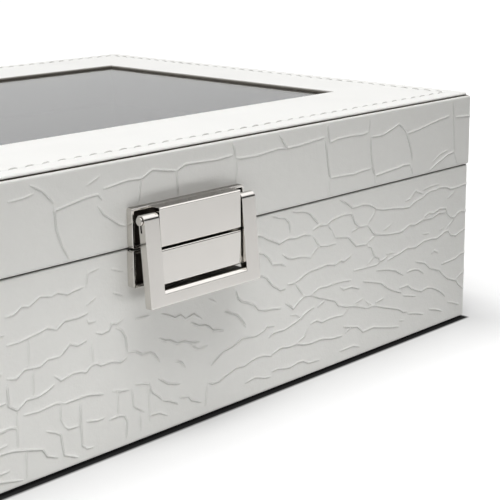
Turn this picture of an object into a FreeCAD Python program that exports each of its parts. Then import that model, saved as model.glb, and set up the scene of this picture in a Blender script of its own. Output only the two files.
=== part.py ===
"""Glazed eyewear box with a lined base, a hinged glass lid and a swing bail clasp.

The base is a board tray in embossed leatherette, with four lined compartments.
The lid has a stitched top frame round a glass pane and turns on two back hinges.
On the front, a bail hangs from a pin in the lid's block and closes over the
block on the base.

Frame: origin in the middle of the resting face, +X right, +Y back, +Z up.
Lengths are in millimetres, angles in degrees.
"""
import FreeCAD
import Part
import math
import os
from typing import NamedTuple

# Outer size of the box
BASE_WIDTH = 286.0
BASE_DEPTH = 198.0
RIM_HEIGHT = 58.5
SEAM_GAP = 0.3
LID_HEIGHT = 26.2
LID_OVERHANG = 0.4
CORNER_RADIUS = 2.5

# Sheet and board thicknesses
SKIN = 0.8
BOARD = 6.4
FLOOR_BOARD = 5.0
SOLE = 0.8
SOLE_INSET = 1.2
SOLE_CORNER = 4.0
TURN_IN = 16.0
FOOT_BEVEL = 0.9
RIM_BEVEL = 0.4

# Lining of the base
LINER = 4.0
COLLAR_HEIGHT = 4.0
COLLAR_CLEARANCE = 0.8
COLLAR_BEVEL = 0.8
SLOT_COUNT = 4
DIVIDER = 4.0
DIVIDER_DROP = 8.5
DIVIDER_ROUND = 1.9
GROOVE_DEPTH = 1.5
GROOVE_CLEARANCE = 0.15
PAD = 3.0
PAD_ROUND = 1.6
PAD_CLEARANCE = 0.3

# Top of the lid
COVER = 1.2
COVER_INSET = 0.5
COVER_CORNER = 3.0
COVER_BEVEL = 0.4
SKIN_TOP_BEVEL = 0.5
TOP_BOARD = 5.0
FRAME_FRONT = 39.0
FRAME_BACK = 35.0
FRAME_SIDE = 32.0
GLASS = 2.0
GLASS_LAP = 6.0
GLASS_CLEARANCE = 0.3
CEILING = 2.0
CEILING_SETBACK = 1.0
LID_LINING = 1.0
LINING_RISE = 0.8

# Clasp trays and blocks
TRAY_WALL = 0.8
TRAY_DEPTH = 2.4
TRAY_FLOOR = 0.8
TRAY_CORNER = 0.6
UPPER_TRAY_HEIGHT = 11.35
LOWER_TRAY_HEIGHT = 10.75
TRAY_SEAM_SETBACK = 0.15
BLOCK_WIDTH = 31.8
BLOCK_FRONT = 7.2
BLOCK_SETBACK = 0.4
BLOCK_BEVEL = 0.35
TRAY_MARGIN = 0.25
STEM_CLEARANCE = 0.1
PRONG_WIDTH = 3.0
PRONG_HEIGHT = 1.6
PRONG_LENGTH = 5.0
PRONG_INSET = 6.0
PRONG_FIT = 0.05

# Bail and its pin
PIVOT_DROP = 3.0
PIVOT_DEPTH = 5.5
PIN_RADIUS = 0.8
PIN_HEAD_RADIUS = 1.25
PIN_HEAD = 0.45
EYE_RADIUS = 1.7
ARM_GAP = 0.4
ARM_WIDTH = 5.4
ARM_THICKNESS = 2.6
BAIL_REACH = 24.9
BAR_HEIGHT = 4.3
BAIL_TILT = 4.6
BAIL_GAP = 0.25
BAIL_BEVEL = 0.3
ROLL_SLOT = 0.5
ROLL_SLOT_LENGTH = 2.6
HEAD_GAP = 0.15

# Hinges
HINGE_INSET = 48.0
HINGE_LENGTH = 32.0
KNUCKLE_COUNT = 3
KNUCKLE_RADIUS = 2.0
KNUCKLE_GAP = 0.4
KNUCKLE_CLEARANCE = 0.3
LEAF = 1.0
LEAF_HEIGHT = 13.0
LEAF_CORNER = 2.0
HINGE_PIN_RADIUS = 1.0
SCREW_SPREAD = 18.0
SCREW_RISE = 8.0
SCREW_RADIUS = 0.95
SCREW_HEAD_RADIUS = 1.9
SCREW_LENGTH = 7.0
SCREW_HEAD = 0.6

# Fits
FAST_FIT = 0.02
RUNNING_FIT = 0.06


class Plan(NamedTuple):
    """A rectangle seen from above."""

    left: float
    right: float
    front: float
    back: float

    def inset(self, by):
        """The same rectangle with each side moved inwards."""
        return Plan(self.left + by, self.right - by, self.front + by, self.back - by)


# Heights that follow from the stack of sheets and boards
skin_bottom = SOLE
floor_low = skin_bottom + SKIN
floor_top = floor_low + FLOOR_BOARD
wall = SKIN + BOARD
lid_low = RIM_HEIGHT + SEAM_GAP
lid_top = lid_low + LID_HEIGHT
cover_low = lid_top - COVER
top_board_low = cover_low - TOP_BOARD
glass_low = cover_low - GLASS
divider_top = RIM_HEIGHT - DIVIDER_DROP

# Plans that the pieces share
base_plan = Plan(-BASE_WIDTH / 2, BASE_WIDTH / 2, -BASE_DEPTH / 2, BASE_DEPTH / 2)
lid_plan = Plan(
    base_plan.left - LID_OVERHANG,
    base_plan.right + LID_OVERHANG,
    base_plan.front - LID_OVERHANG,
    base_plan.back,
)
liner_plan = base_plan.inset(wall)
room_plan = liner_plan.inset(LINER)
lid_room_plan = lid_plan.inset(wall + LID_LINING)
collar_plan = lid_room_plan.inset(COLLAR_CLEARANCE)
window_plan = Plan(
    lid_plan.left + FRAME_SIDE,
    lid_plan.right - FRAME_SIDE,
    lid_plan.front + FRAME_FRONT,
    lid_plan.back - FRAME_BACK,
)

# Clasp places
clasp_face = lid_plan.front
bail_width = BLOCK_WIDTH + 2 * (ARM_GAP + ARM_WIDTH)
tray_width = bail_width + 2 * TRAY_MARGIN
upper_tray_low = lid_low + TRAY_SEAM_SETBACK
upper_tray_high = upper_tray_low + UPPER_TRAY_HEIGHT
lower_tray_high = RIM_HEIGHT - TRAY_SEAM_SETBACK
lower_tray_low = lower_tray_high - LOWER_TRAY_HEIGHT
pivot_y = clasp_face - PIVOT_DEPTH
pivot_z = upper_tray_high - PIVOT_DROP
prong_x = tray_width / 2 - PRONG_INSET

# Hinge places
hinge_offset = base_plan.right - HINGE_INSET
axis_y = base_plan.back + KNUCKLE_CLEARANCE + KNUCKLE_RADIUS
axis_z = (RIM_HEIGHT + lid_low) / 2
knuckle_pitch = HINGE_LENGTH / KNUCKLE_COUNT


def box(x_low, x_high, y_low, y_high, z_low, z_high):
    """A block between two values on each axis."""
    corner = FreeCAD.Vector(x_low, y_low, z_low)
    return Part.makeBox(x_high - x_low, y_high - y_low, z_high - z_low, corner)


def edges_along(shape, axis):
    """The straight edges that run along one axis, 0 for X, 1 for Y and 2 for Z."""
    chosen = []
    for edge in shape.Edges:
        lengths = (edge.BoundBox.XLength, edge.BoundBox.YLength, edge.BoundBox.ZLength)
        across = [length for index, length in enumerate(lengths) if index != axis]
        if max(across) < 1e-6:
            chosen.append(edge)
    return chosen


def edges_in_plane(shape, axis, value):
    """The edges that lie in the plane where one coordinate has a value."""
    chosen = []
    for edge in shape.Edges:
        bounds = edge.BoundBox
        low = (bounds.XMin, bounds.YMin, bounds.ZMin)[axis]
        high = (bounds.XMax, bounds.YMax, bounds.ZMax)[axis]
        if abs(low - value) < 1e-5 and abs(high - value) < 1e-5:
            chosen.append(edge)
    return chosen


def slab(plan, low, high, corner=0.0):
    """An upright block over a plan, with its upright edges rounded."""
    body = box(plan.left, plan.right, plan.front, plan.back, low, high)
    if corner > 0.0:
        body = body.makeFillet(corner, edges_along(body, 2))
    return body


def rod(centre, direction, radius, length):
    """A round bar from a point along a direction."""
    return Part.makeCylinder(radius, length, FreeCAD.Vector(*centre), FreeCAD.Vector(*direction))


def cut_all(body, tools):
    """A body with each tool cut away."""
    for tool in tools:
        body = body.cut(tool)
    return body


def join(pieces):
    """The union of overlapping pieces, without the seams between them."""
    body = pieces[0]
    for piece in pieces[1:]:
        body = body.fuse(piece)
    return body.removeSplitter()


def four_sides(plan, thickness, low, high):
    """Four boards just inside a plan: front and back full width, sides between them."""
    inner = plan.inset(thickness)
    return {
        "front": box(plan.left, plan.right, plan.front, inner.front, low, high),
        "back": box(plan.left, plan.right, inner.back, plan.back, low, high),
        "left": box(plan.left, inner.left, inner.front, inner.back, low, high),
        "right": box(inner.right, plan.right, inner.front, inner.back, low, high),
    }


def prongs(height, grow=0.0):
    """The two flat prongs that fix one tray, or the room for them where they are grown."""
    half = PRONG_WIDTH / 2 + grow
    low = height - PRONG_HEIGHT / 2 - grow
    high = height + PRONG_HEIGHT / 2 + grow
    seat = clasp_face - TRAY_FLOOR
    pair = []
    for side in (-1, 1):
        middle = side * prong_x
        pair.append(box(middle - half, middle + half, seat, seat + PRONG_LENGTH + grow, low, high))
    return pair


def screw_places(rise):
    """Where the screws enter the back, rise above or below the hinge axis."""
    places = []
    for side in (-1, 1):
        for step in (-1, 1):
            places.append((side * hinge_offset + step * SCREW_SPREAD / 2, axis_z + rise))
    return places


def screw_holes(rise):
    """The holes that take the screw shanks, as bars to cut away."""
    outer = base_plan.back + LEAF
    radius = SCREW_RADIUS + FAST_FIT
    return [rod((x, outer, z), (0, -1, 0), radius, SCREW_LENGTH) for x, z in screw_places(rise)]


upper_prong_z = (upper_tray_low + upper_tray_high) / 2
lower_prong_z = (lower_tray_low + lower_tray_high) / 2


def base_sole():
    """The dark sheet that the box stands on."""
    return slab(base_plan.inset(SOLE_INSET), 0.0, SOLE, SOLE_CORNER)


def base_skin():
    """The embossed strip round the base, turned in over the rim and under the floor."""
    outer = slab(base_plan, skin_bottom, RIM_HEIGHT, CORNER_RADIUS)
    outer = outer.makeChamfer(FOOT_BEVEL, edges_in_plane(outer, 2, skin_bottom))
    outer = outer.makeChamfer(RIM_BEVEL, edges_in_plane(outer, 2, RIM_HEIGHT))
    core = slab(base_plan.inset(SKIN), floor_low, RIM_HEIGHT - SKIN, CORNER_RADIUS - SKIN)
    mouth = slab(liner_plan, RIM_HEIGHT - SKIN, RIM_HEIGHT)
    under = slab(base_plan.inset(TURN_IN), skin_bottom, floor_low)
    holes = prongs(lower_prong_z, PRONG_FIT) + screw_holes(-SCREW_RISE)
    return cut_all(outer, [core, mouth, under] + holes)


def base_floor():
    """The floor board that the walls stand on."""
    return slab(base_plan.inset(SKIN), floor_low, floor_top, CORNER_RADIUS - SKIN)


def base_walls():
    """The four wall boards, trimmed to the rounded corners of the skin."""
    plan = base_plan.inset(SKIN)
    top = RIM_HEIGHT - SKIN
    shell = slab(plan, floor_top, top, CORNER_RADIUS - SKIN)
    walls = four_sides(plan, BOARD, floor_top, top)
    walls = {side: board.common(shell) for side, board in walls.items()}
    walls["front"] = cut_all(walls["front"], prongs(lower_prong_z, PRONG_FIT))
    walls["back"] = cut_all(walls["back"], screw_holes(-SCREW_RISE))
    return walls


def divider_places():
    """The middle of each divider, from left to right."""
    slot = (room_plan.right - room_plan.left - (SLOT_COUNT - 1) * DIVIDER) / SLOT_COUNT
    pitch = slot + DIVIDER
    return [room_plan.left + pitch * index - DIVIDER / 2 for index in range(1, SLOT_COUNT)]


def base_liners():
    """The lining boards, which step in above the rim as a collar for the lid."""
    high = RIM_HEIGHT + COLLAR_HEIGHT
    body = join([slab(liner_plan, floor_top, RIM_HEIGHT), slab(collar_plan, floor_top, high)])
    ring = body.cut(slab(room_plan, floor_top, high))
    ring = ring.makeChamfer(COLLAR_BEVEL, edges_in_plane(ring, 2, high))
    half = DIVIDER / 2 + GROOVE_CLEARANCE
    grooves = []
    for x in divider_places():
        reach = room_plan.back + GROOVE_DEPTH
        front = room_plan.front - GROOVE_DEPTH
        grooves.append(box(x - half, x + half, front, reach, floor_top, divider_top + GROOVE_CLEARANCE))
    ring = cut_all(ring, grooves)
    zones = four_sides(liner_plan, LINER, floor_top, high)
    return {side: ring.common(zone) for side, zone in zones.items()}


def dividers():
    """The lined boards that stand in the grooves between the compartments."""
    boards = []
    end = GROOVE_DEPTH - GROOVE_CLEARANCE
    for x in divider_places():
        front = room_plan.front - end
        back = room_plan.back + end
        board = box(x - DIVIDER / 2, x + DIVIDER / 2, front, back, floor_top, divider_top)
        crest = [e for e in edges_in_plane(board, 2, divider_top) if e.BoundBox.YLength > DIVIDER]
        boards.append(board.makeFillet(DIVIDER_ROUND, crest))
    return boards


def floor_pads():
    """The soft pads on the floor, one in each compartment."""
    middles = divider_places()
    lefts = [room_plan.left] + [x + DIVIDER / 2 for x in middles]
    rights = [x - DIVIDER / 2 for x in middles] + [room_plan.right]
    pads = []
    for left, right in zip(lefts, rights):
        plan = Plan(left, right, room_plan.front, room_plan.back).inset(PAD_CLEARANCE)
        pad = slab(plan, floor_top, floor_top + PAD)
        pads.append(pad.makeFillet(PAD_ROUND, edges_in_plane(pad, 2, floor_top + PAD)))
    return pads


def lid_skin():
    """The embossed strip round the lid, turned in under its lower edge."""
    outer = slab(lid_plan, lid_low, cover_low, CORNER_RADIUS)
    outer = outer.makeChamfer(SKIN_TOP_BEVEL, edges_in_plane(outer, 2, cover_low))
    outer = outer.makeChamfer(RIM_BEVEL, edges_in_plane(outer, 2, lid_low))
    core = slab(lid_plan.inset(SKIN), lid_low + SKIN, cover_low, CORNER_RADIUS - SKIN)
    mouth = slab(lid_plan.inset(wall), lid_low, lid_low + SKIN)
    holes = prongs(upper_prong_z, PRONG_FIT) + screw_holes(SCREW_RISE)
    return cut_all(outer, [core, mouth] + holes)


def lid_rails():
    """The four rails of the lid, under its top boards."""
    plan = lid_plan.inset(SKIN)
    low = lid_low + SKIN
    shell = slab(plan, low, top_board_low, CORNER_RADIUS - SKIN)
    rails = four_sides(plan, BOARD, low, top_board_low)
    rails = {side: rail.common(shell) for side, rail in rails.items()}
    rails["front"] = cut_all(rails["front"], prongs(upper_prong_z, PRONG_FIT))
    rails["back"] = cut_all(rails["back"], screw_holes(SCREW_RISE))
    return rails


def lid_top_boards():
    """The four boards round the window, with a rebate in their upper faces for the pane."""
    plan = lid_plan.inset(SKIN)
    window = window_plan
    low, high = top_board_low, cover_low
    panel = slab(plan, low, high, CORNER_RADIUS - SKIN)
    panel = panel.cut(slab(window.inset(-GLASS_LAP), glass_low, high))
    places = {
        "front": box(plan.left, plan.right, plan.front, window.front, low, high),
        "back": box(plan.left, plan.right, window.back, plan.back, low, high),
        "left": box(plan.left, window.left, window.front, window.back, low, high),
        "right": box(window.right, plan.right, window.front, window.back, low, high),
    }
    return {side: panel.common(place) for side, place in places.items()}


def lid_cover():
    """The smooth stitched sheet on the top boards, with bevelled edges."""
    sheet = slab(lid_plan.inset(COVER_INSET), cover_low, lid_top, COVER_CORNER)
    sheet = sheet.cut(slab(window_plan, cover_low, lid_top))
    return sheet.makeChamfer(COVER_BEVEL, edges_in_plane(sheet, 2, lid_top))


def glass_pane():
    """The pane in the top boards' rebate, held down by the cover."""
    plan = window_plan.inset(GLASS_CLEARANCE - GLASS_LAP)
    return slab(plan, glass_low, cover_low)


def ceiling_lining():
    """The lined frame under the top boards."""
    frame = slab(lid_room_plan, top_board_low - CEILING, top_board_low)
    return frame.cut(slab(window_plan.inset(-CEILING_SETBACK), top_board_low - CEILING, top_board_low))


def lid_linings():
    """The thin lined boards inside the lid's rails."""
    low = lid_low + SKIN + LINING_RISE
    return four_sides(lid_plan.inset(wall), LID_LINING, low, top_board_low)


def clasp_tray(low, high, back):
    """A shallow tray with a flange all round and two prongs behind, pressed into the board."""
    half = tray_width / 2
    front = clasp_face - TRAY_DEPTH
    body = box(-half, half, front, back, low, high)
    body = body.makeFillet(TRAY_CORNER, edges_along(body, 1))
    inner = half - TRAY_WALL
    pocket = box(-inner, inner, front, clasp_face - TRAY_FLOOR, low + TRAY_WALL, high - TRAY_WALL)
    return join([body.cut(pocket)] + prongs((low + high) / 2))


def clasp_block(low, high, cap_low, cap_high):
    """A polished block whose stem fills its tray and whose cap covers the flanges."""
    half = BLOCK_WIDTH / 2
    step = clasp_face - TRAY_DEPTH
    face = clasp_face - BLOCK_FRONT
    edge = TRAY_WALL + STEM_CLEARANCE
    cap = box(-half, half, face, step, cap_low, cap_high)
    cap = cap.makeChamfer(BLOCK_BEVEL, edges_in_plane(cap, 1, face))
    stem = box(-half, half, step, clasp_face - TRAY_FLOOR, low + edge, high - edge)
    return join([cap, stem])


def upper_block():
    """The block on the lid, flush with the top of its tray and bored for the bail's pin."""
    block = clasp_block(upper_tray_low, upper_tray_high, upper_tray_low, upper_tray_high)
    start = (-BLOCK_WIDTH / 2, pivot_y, pivot_z)
    return block.cut(rod(start, (1, 0, 0), PIN_RADIUS + FAST_FIT, BLOCK_WIDTH))


def lower_block():
    """The block on the base that the bail closes over."""
    return clasp_block(lower_tray_low, lower_tray_high, lower_tray_low + BLOCK_SETBACK, lower_tray_high)


def pivot_pin():
    """The pin through the upper block and both eyes, with a head outside each arm."""
    half = bail_width / 2 + HEAD_GAP
    pin = rod((-half, pivot_y, pivot_z), (1, 0, 0), PIN_RADIUS, 2 * half)
    heads = []
    for side in (-1, 1):
        heads.append(rod((side * half, pivot_y, pivot_z), (side, 0, 0), PIN_HEAD_RADIUS, PIN_HEAD))
    return join([pin] + heads)


def clasp_bail():
    """The U shaped bail: two arms rolled round the pin, and a bar across their ends.

    It is drawn hanging straight down and then tilted forwards about the pin, so
    that the bar stands in front of both blocks and leaves them room to part.
    """
    tilt = math.radians(BAIL_TILT)
    front = -EYE_RADIUS
    bar_top = -BAIL_REACH + BAR_HEIGHT
    block_face = PIVOT_DEPTH - BLOCK_FRONT
    bar_back = (block_face - BAIL_GAP - bar_top * math.sin(tilt)) / math.cos(tilt)
    half = bail_width / 2
    frame = box(-half, half, front, front + ARM_THICKNESS, -BAIL_REACH, 0.0)
    frame = frame.makeChamfer(BAIL_BEVEL, edges_in_plane(frame, 2, -BAIL_REACH))
    inner = half - ARM_WIDTH
    frame = frame.cut(box(-inner, inner, front, front + ARM_THICKNESS, bar_top, EYE_RADIUS))
    frame = frame.cut(box(-inner, inner, bar_back, front + ARM_THICKNESS, -BAIL_REACH, bar_top))
    eyes = [rod((side * inner, 0, 0), (side, 0, 0), EYE_RADIUS, ARM_WIDTH) for side in (-1, 1)]
    bail = join([frame] + eyes)
    bore = rod((-half, 0, 0), (1, 0, 0), PIN_RADIUS + RUNNING_FIT, 2 * half)
    slot_low = -PIN_RADIUS - ROLL_SLOT_LENGTH
    slot = box(-half, half, -ROLL_SLOT / 2, ROLL_SLOT / 2, slot_low, 0.0)
    bail = cut_all(bail, [bore, slot])
    bail.rotate(FreeCAD.Vector(0, 0, 0), FreeCAD.Vector(-1, 0, 0), BAIL_TILT)
    bail.translate(FreeCAD.Vector(0, pivot_y, pivot_z))
    return bail


def knuckle_span(side, index):
    """Where one knuckle's share of a hinge starts along X."""
    return side * hinge_offset - HINGE_LENGTH / 2 + index * knuckle_pitch


def hinge_leaf(side, turns):
    """One leaf with its knuckles, on the lid where it turns and on the base where not."""
    up = 1 if turns else -1
    left = side * hinge_offset - HINGE_LENGTH / 2
    near = axis_z + up * SEAM_GAP / 2
    far = axis_z + up * LEAF_HEIGHT
    outer = base_plan.back + LEAF
    plate = box(left, left + HINGE_LENGTH, base_plan.back, outer, min(near, far), max(near, far))
    ends = [e for e in edges_along(plate, 1) if abs(e.BoundBox.ZMin - far) < 1e-5]
    leaf = plate.makeFillet(LEAF_CORNER, ends)
    own = [index for index in range(KNUCKLE_COUNT) if (index % 2 == 1) == turns]
    others = [index for index in range(KNUCKLE_COUNT) if index not in own]
    for index in others:
        start = (knuckle_span(side, index), axis_y, axis_z)
        reach = KNUCKLE_RADIUS + KNUCKLE_CLEARANCE
        leaf = leaf.cut(rod(start, (1, 0, 0), reach, knuckle_pitch))
    curls = []
    for index in own:
        start = (knuckle_span(side, index) + KNUCKLE_GAP / 2, axis_y, axis_z)
        curls.append(rod(start, (1, 0, 0), KNUCKLE_RADIUS, knuckle_pitch - KNUCKLE_GAP))
    leaf = join([leaf] + curls)
    fit = RUNNING_FIT if turns else FAST_FIT
    bore = rod((left, axis_y, axis_z), (1, 0, 0), HINGE_PIN_RADIUS + fit, HINGE_LENGTH)
    leaf = leaf.cut(bore)
    return cut_all(leaf, screw_holes(up * SCREW_RISE))


def screw(x, z):
    """A flat headed screw whose head lies on the leaf."""
    outer = base_plan.back + LEAF
    head = rod((x, outer, z), (0, 1, 0), SCREW_HEAD_RADIUS, SCREW_HEAD)
    shank = rod((x, outer, z), (0, -1, 0), SCREW_RADIUS, SCREW_LENGTH - FAST_FIT)
    return join([head, shank])


def hinge_screws(rise):
    """The screws of both hinges on one side of the seam."""
    return Part.makeCompound([screw(x, z) for x, z in screw_places(rise)])


def hinge_pin(side):
    """The pin of one hinge, flush with the ends of its knuckles."""
    start = side * hinge_offset - HINGE_LENGTH / 2
    return rod((start, axis_y, axis_z), (1, 0, 0), HINGE_PIN_RADIUS, HINGE_LENGTH)


def build():
    """Every node of the box, by name."""
    nodes = {
        "base_sole": base_sole(),
        "base_skin": base_skin(),
        "base_floor_board": base_floor(),
    }
    for side, board in base_walls().items():
        nodes[f"base_{side}_board"] = board
    for side, board in base_liners().items():
        nodes[f"liner_{side}"] = board
    for index, board in enumerate(dividers(), start=1):
        nodes[f"divider_{index}"] = board
    for index, pad in enumerate(floor_pads(), start=1):
        nodes[f"floor_pad_{index}"] = pad
    nodes["lid_skin"] = lid_skin()
    for side, rail in lid_rails().items():
        nodes[f"lid_{side}_rail"] = rail
    for side, board in lid_top_boards().items():
        nodes[f"lid_{side}_top_board"] = board
    nodes["lid_top_cover"] = lid_cover()
    nodes["glass_pane"] = glass_pane()
    nodes["lid_ceiling_lining"] = ceiling_lining()
    for side, board in lid_linings().items():
        nodes[f"lid_{side}_lining"] = board
    nodes["clasp_upper_tray"] = clasp_tray(upper_tray_low, upper_tray_high, lid_plan.front)
    nodes["clasp_lower_tray"] = clasp_tray(lower_tray_low, lower_tray_high, base_plan.front)
    nodes["clasp_upper_block"] = upper_block()
    nodes["clasp_lower_block"] = lower_block()
    nodes["clasp_pivot_pin"] = pivot_pin()
    nodes["clasp_bail"] = clasp_bail()
    for side, word in ((-1, "left"), (1, "right")):
        nodes[f"hinge_base_leaf_{word}"] = hinge_leaf(side, False)
        nodes[f"hinge_lid_leaf_{word}"] = hinge_leaf(side, True)
        nodes[f"hinge_pin_{word}"] = hinge_pin(side)
    nodes["hinge_base_screws"] = hinge_screws(-SCREW_RISE)
    nodes["hinge_lid_screws"] = hinge_screws(SCREW_RISE)
    return nodes


def export(nodes):
    """Write one file per node and say what each one holds."""
    os.makedirs("parts", exist_ok=True)
    for name, shape in nodes.items():
        if not shape.isValid():
            raise ValueError(f"{name} is not a valid solid")
        shape.exportStep(f"parts/{name}.step")
        print(f"{name}: {len(shape.Solids)} solid, {shape.Volume:.1f} cubic mm")


export(build())
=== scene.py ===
"""Dresses the glazed eyewear box: embossed skins, stitched cover, velvet room and clasp.

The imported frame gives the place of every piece. Lengths in the classes are in
millimetres and become metres where a mesh is made.
"""
import logging
import math
from contextlib import contextmanager
from dataclasses import dataclass, field
from enum import Enum
from functools import cached_property, lru_cache
from typing import Callable, Iterator, NamedTuple, Sequence

import bpy
import numpy as np
from mathutils import Matrix, Vector


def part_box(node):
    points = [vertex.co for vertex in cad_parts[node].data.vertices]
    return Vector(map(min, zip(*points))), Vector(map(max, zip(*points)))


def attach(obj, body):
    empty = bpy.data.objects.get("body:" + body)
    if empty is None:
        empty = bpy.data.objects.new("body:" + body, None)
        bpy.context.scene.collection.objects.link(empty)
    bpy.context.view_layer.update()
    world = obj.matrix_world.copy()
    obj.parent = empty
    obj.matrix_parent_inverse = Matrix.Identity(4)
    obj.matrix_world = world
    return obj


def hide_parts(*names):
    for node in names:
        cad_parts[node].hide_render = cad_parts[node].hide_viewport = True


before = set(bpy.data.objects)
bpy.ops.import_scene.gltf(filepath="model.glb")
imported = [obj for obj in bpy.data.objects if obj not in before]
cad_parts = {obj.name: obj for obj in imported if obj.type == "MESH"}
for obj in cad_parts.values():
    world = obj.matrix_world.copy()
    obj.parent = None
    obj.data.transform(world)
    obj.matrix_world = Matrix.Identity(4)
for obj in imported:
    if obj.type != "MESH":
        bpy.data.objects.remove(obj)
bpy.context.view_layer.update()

MM = 0.001
log = logging.getLogger("eyewear_box")


class Side(Enum):
    """The walls of the box, in the order in which a strip goes round them."""

    FRONT = "front"
    RIGHT = "right"
    BACK_RIGHT = "back_right"
    BACK_LEFT = "back_left"
    LEFT = "left"


class Slot(Enum):
    """The material slots of the record."""

    EMBOSSED = "embossed_leather"
    SMOOTH = "smooth_leather"
    NICKEL = "polished_nickel"
    HINGE = "hinge_metal"
    VELVET = "velvet"
    BOARD = "board"
    SOLE = "sole"
    GLASS = "glass"


class Plan(NamedTuple):
    """A rectangle seen from above, in millimetres."""

    left: float
    right: float
    front: float
    back: float

    def inset(self, by: float) -> "Plan":
        """The same rectangle with each side moved inwards."""
        return Plan(self.left + by, self.right - by, self.front + by, self.back - by)

    def clamp(self, points: np.ndarray) -> np.ndarray:
        """Points moved to the nearest place in the rectangle."""
        low = (self.left, self.front)
        high = (self.right, self.back)
        return np.clip(points, low, high)


def plan_of(node: str) -> Plan:
    """The rectangle that a CAD node fills, seen from above."""
    low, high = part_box(node)
    return Plan(low.x / MM, high.x / MM, low.y / MM, high.y / MM)


# Shader building


class Paint:
    """A material's node tree with one principled shader at its end."""

    def __init__(self, name: str) -> None:
        """Starts an empty tree.

        Args:
            name: The material's name.
        """
        self.material = bpy.data.materials.new(name)
        self.material.use_nodes = True
        self.tree = self.material.node_tree
        self.tree.nodes.clear()
        self.output = self.add("ShaderNodeOutputMaterial")
        self.shader = self.add("ShaderNodeBsdfPrincipled")
        self.feed(self.output.inputs["Surface"], self.shader.outputs["BSDF"])
        self.place = self.add("ShaderNodeTexCoord").outputs["Object"]

    def add(self, kind: str, inputs: dict | None = None, **settings: object) -> bpy.types.Node:
        """Adds a node.

        Args:
            kind: The node's type name.
            inputs: Socket name or index to a value or another socket.
            settings: Properties of the node itself.

        Returns:
            The new node.
        """
        node = self.tree.nodes.new(kind)
        for key, value in settings.items():
            setattr(node, key, value)
        for key, value in (inputs or {}).items():
            self.feed(node.inputs[key], value)
        return node

    def feed(self, socket: bpy.types.NodeSocket, value: object) -> None:
        """Links a socket to another one, or sets its value."""
        if isinstance(value, bpy.types.NodeSocket):
            self.tree.links.new(value, socket)
        else:
            socket.default_value = value

    def stretched(self, scale: Sequence[float]) -> bpy.types.NodeSocket:
        """Object coordinates stretched along the axes."""
        inputs = {"Vector": self.place, "Scale": scale}
        return self.add("ShaderNodeMapping", inputs).outputs["Vector"]

    def noise(self, size: float, detail: float = 2.0, where: object = None) -> bpy.types.NodeSocket:
        """Soft noise.

        Args:
            size: The size of its blobs in millimetres.
            detail: How many finer layers it has.
            where: A vector socket, or None for plain object coordinates.

        Returns:
            The noise as a value from 0 to 1.
        """
        inputs = {"Vector": where or self.place, "Scale": 1.0 / (size * MM), "Detail": detail}
        return self.add("ShaderNodeTexNoise", inputs).outputs["Fac"]

    def cells(self, size: float, feature: str = "F1") -> bpy.types.NodeSocket:
        """Distance to the nearest of scattered points, size millimetres apart."""
        inputs = {"Vector": self.place, "Scale": 1.0 / (size * MM)}
        return self.add("ShaderNodeTexVoronoi", inputs, feature=feature).outputs["Distance"]

    def attribute(self, name: str, output: str = "Fac") -> bpy.types.NodeSocket:
        """A value or a vector that is stored on the mesh."""
        return self.add("ShaderNodeAttribute", attribute_name=name).outputs[output]

    def height(self) -> bpy.types.NodeSocket:
        """The Z of the object coordinates, in metres."""
        return self.add("ShaderNodeSeparateXYZ", {"Vector": self.place}).outputs["Z"]

    def ridge(self, way: str, force: str, width: float) -> bpy.types.NodeSocket:
        """A thin rounded ridge along stored lines.

        Args:
            way: The stored vector to the nearest line, in millimetres.
            force: The stored strength of that line.
            width: How far from the line the ridge has sunk to about a third.

        Returns:
            Its height from 0 to 1.
        """
        reach = self.add("ShaderNodeVectorMath", {0: self.attribute(way, "Vector")}, operation="LENGTH").outputs["Value"]
        share = self.combine("DIVIDE", reach, width)
        fall = self.combine("MULTIPLY", self.combine("MULTIPLY", share, share), -1.0)
        return self.combine("MULTIPLY", self.combine("EXPONENT", fall, 0.0), self.attribute(force))

    def spread(self, value: object, low: float, high: float, start: float = 0.0,
               end: float = 1.0) -> bpy.types.NodeSocket:
        """A value mapped from start..end to low..high."""
        inputs = {"Value": value, "From Min": start, "From Max": end, "To Min": low, "To Max": high}
        return self.add("ShaderNodeMapRange", inputs).outputs["Result"]

    def blend(self, factor: object, first: object, second: object) -> bpy.types.NodeSocket:
        """A colour between two colours."""
        inputs = {"Fac": factor, "Color1": first, "Color2": second}
        return self.add("ShaderNodeMixRGB", inputs).outputs["Color"]

    def combine(self, operation: str, first: object, second: object) -> bpy.types.NodeSocket:
        """Two values put through a math operation."""
        inputs = {0: first, 1: second}
        return self.add("ShaderNodeMath", inputs, operation=operation).outputs["Value"]

    def bump(self, height: object, depth: float, under: object = None) -> bpy.types.NodeSocket:
        """A normal from a height, depth millimetres high, over another normal."""
        inputs = {"Height": height, "Distance": depth * MM, "Strength": 1.0}
        if under is not None:
            inputs["Normal"] = under
        return self.add("ShaderNodeBump", inputs).outputs["Normal"]

    def finish(self, inputs: dict) -> bpy.types.Material:
        """Feeds the principled shader and gives the material."""
        for key, value in inputs.items():
            self.feed(self.shader.inputs[key], value)
        return self.material


def opaque(colour: Sequence[float], factor: float = 1.0) -> tuple[float, float, float, float]:
    """A colour with its alpha, lighter or darker by a factor."""
    return (colour[0] * factor, colour[1] * factor, colour[2] * factor, 1.0)


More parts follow.
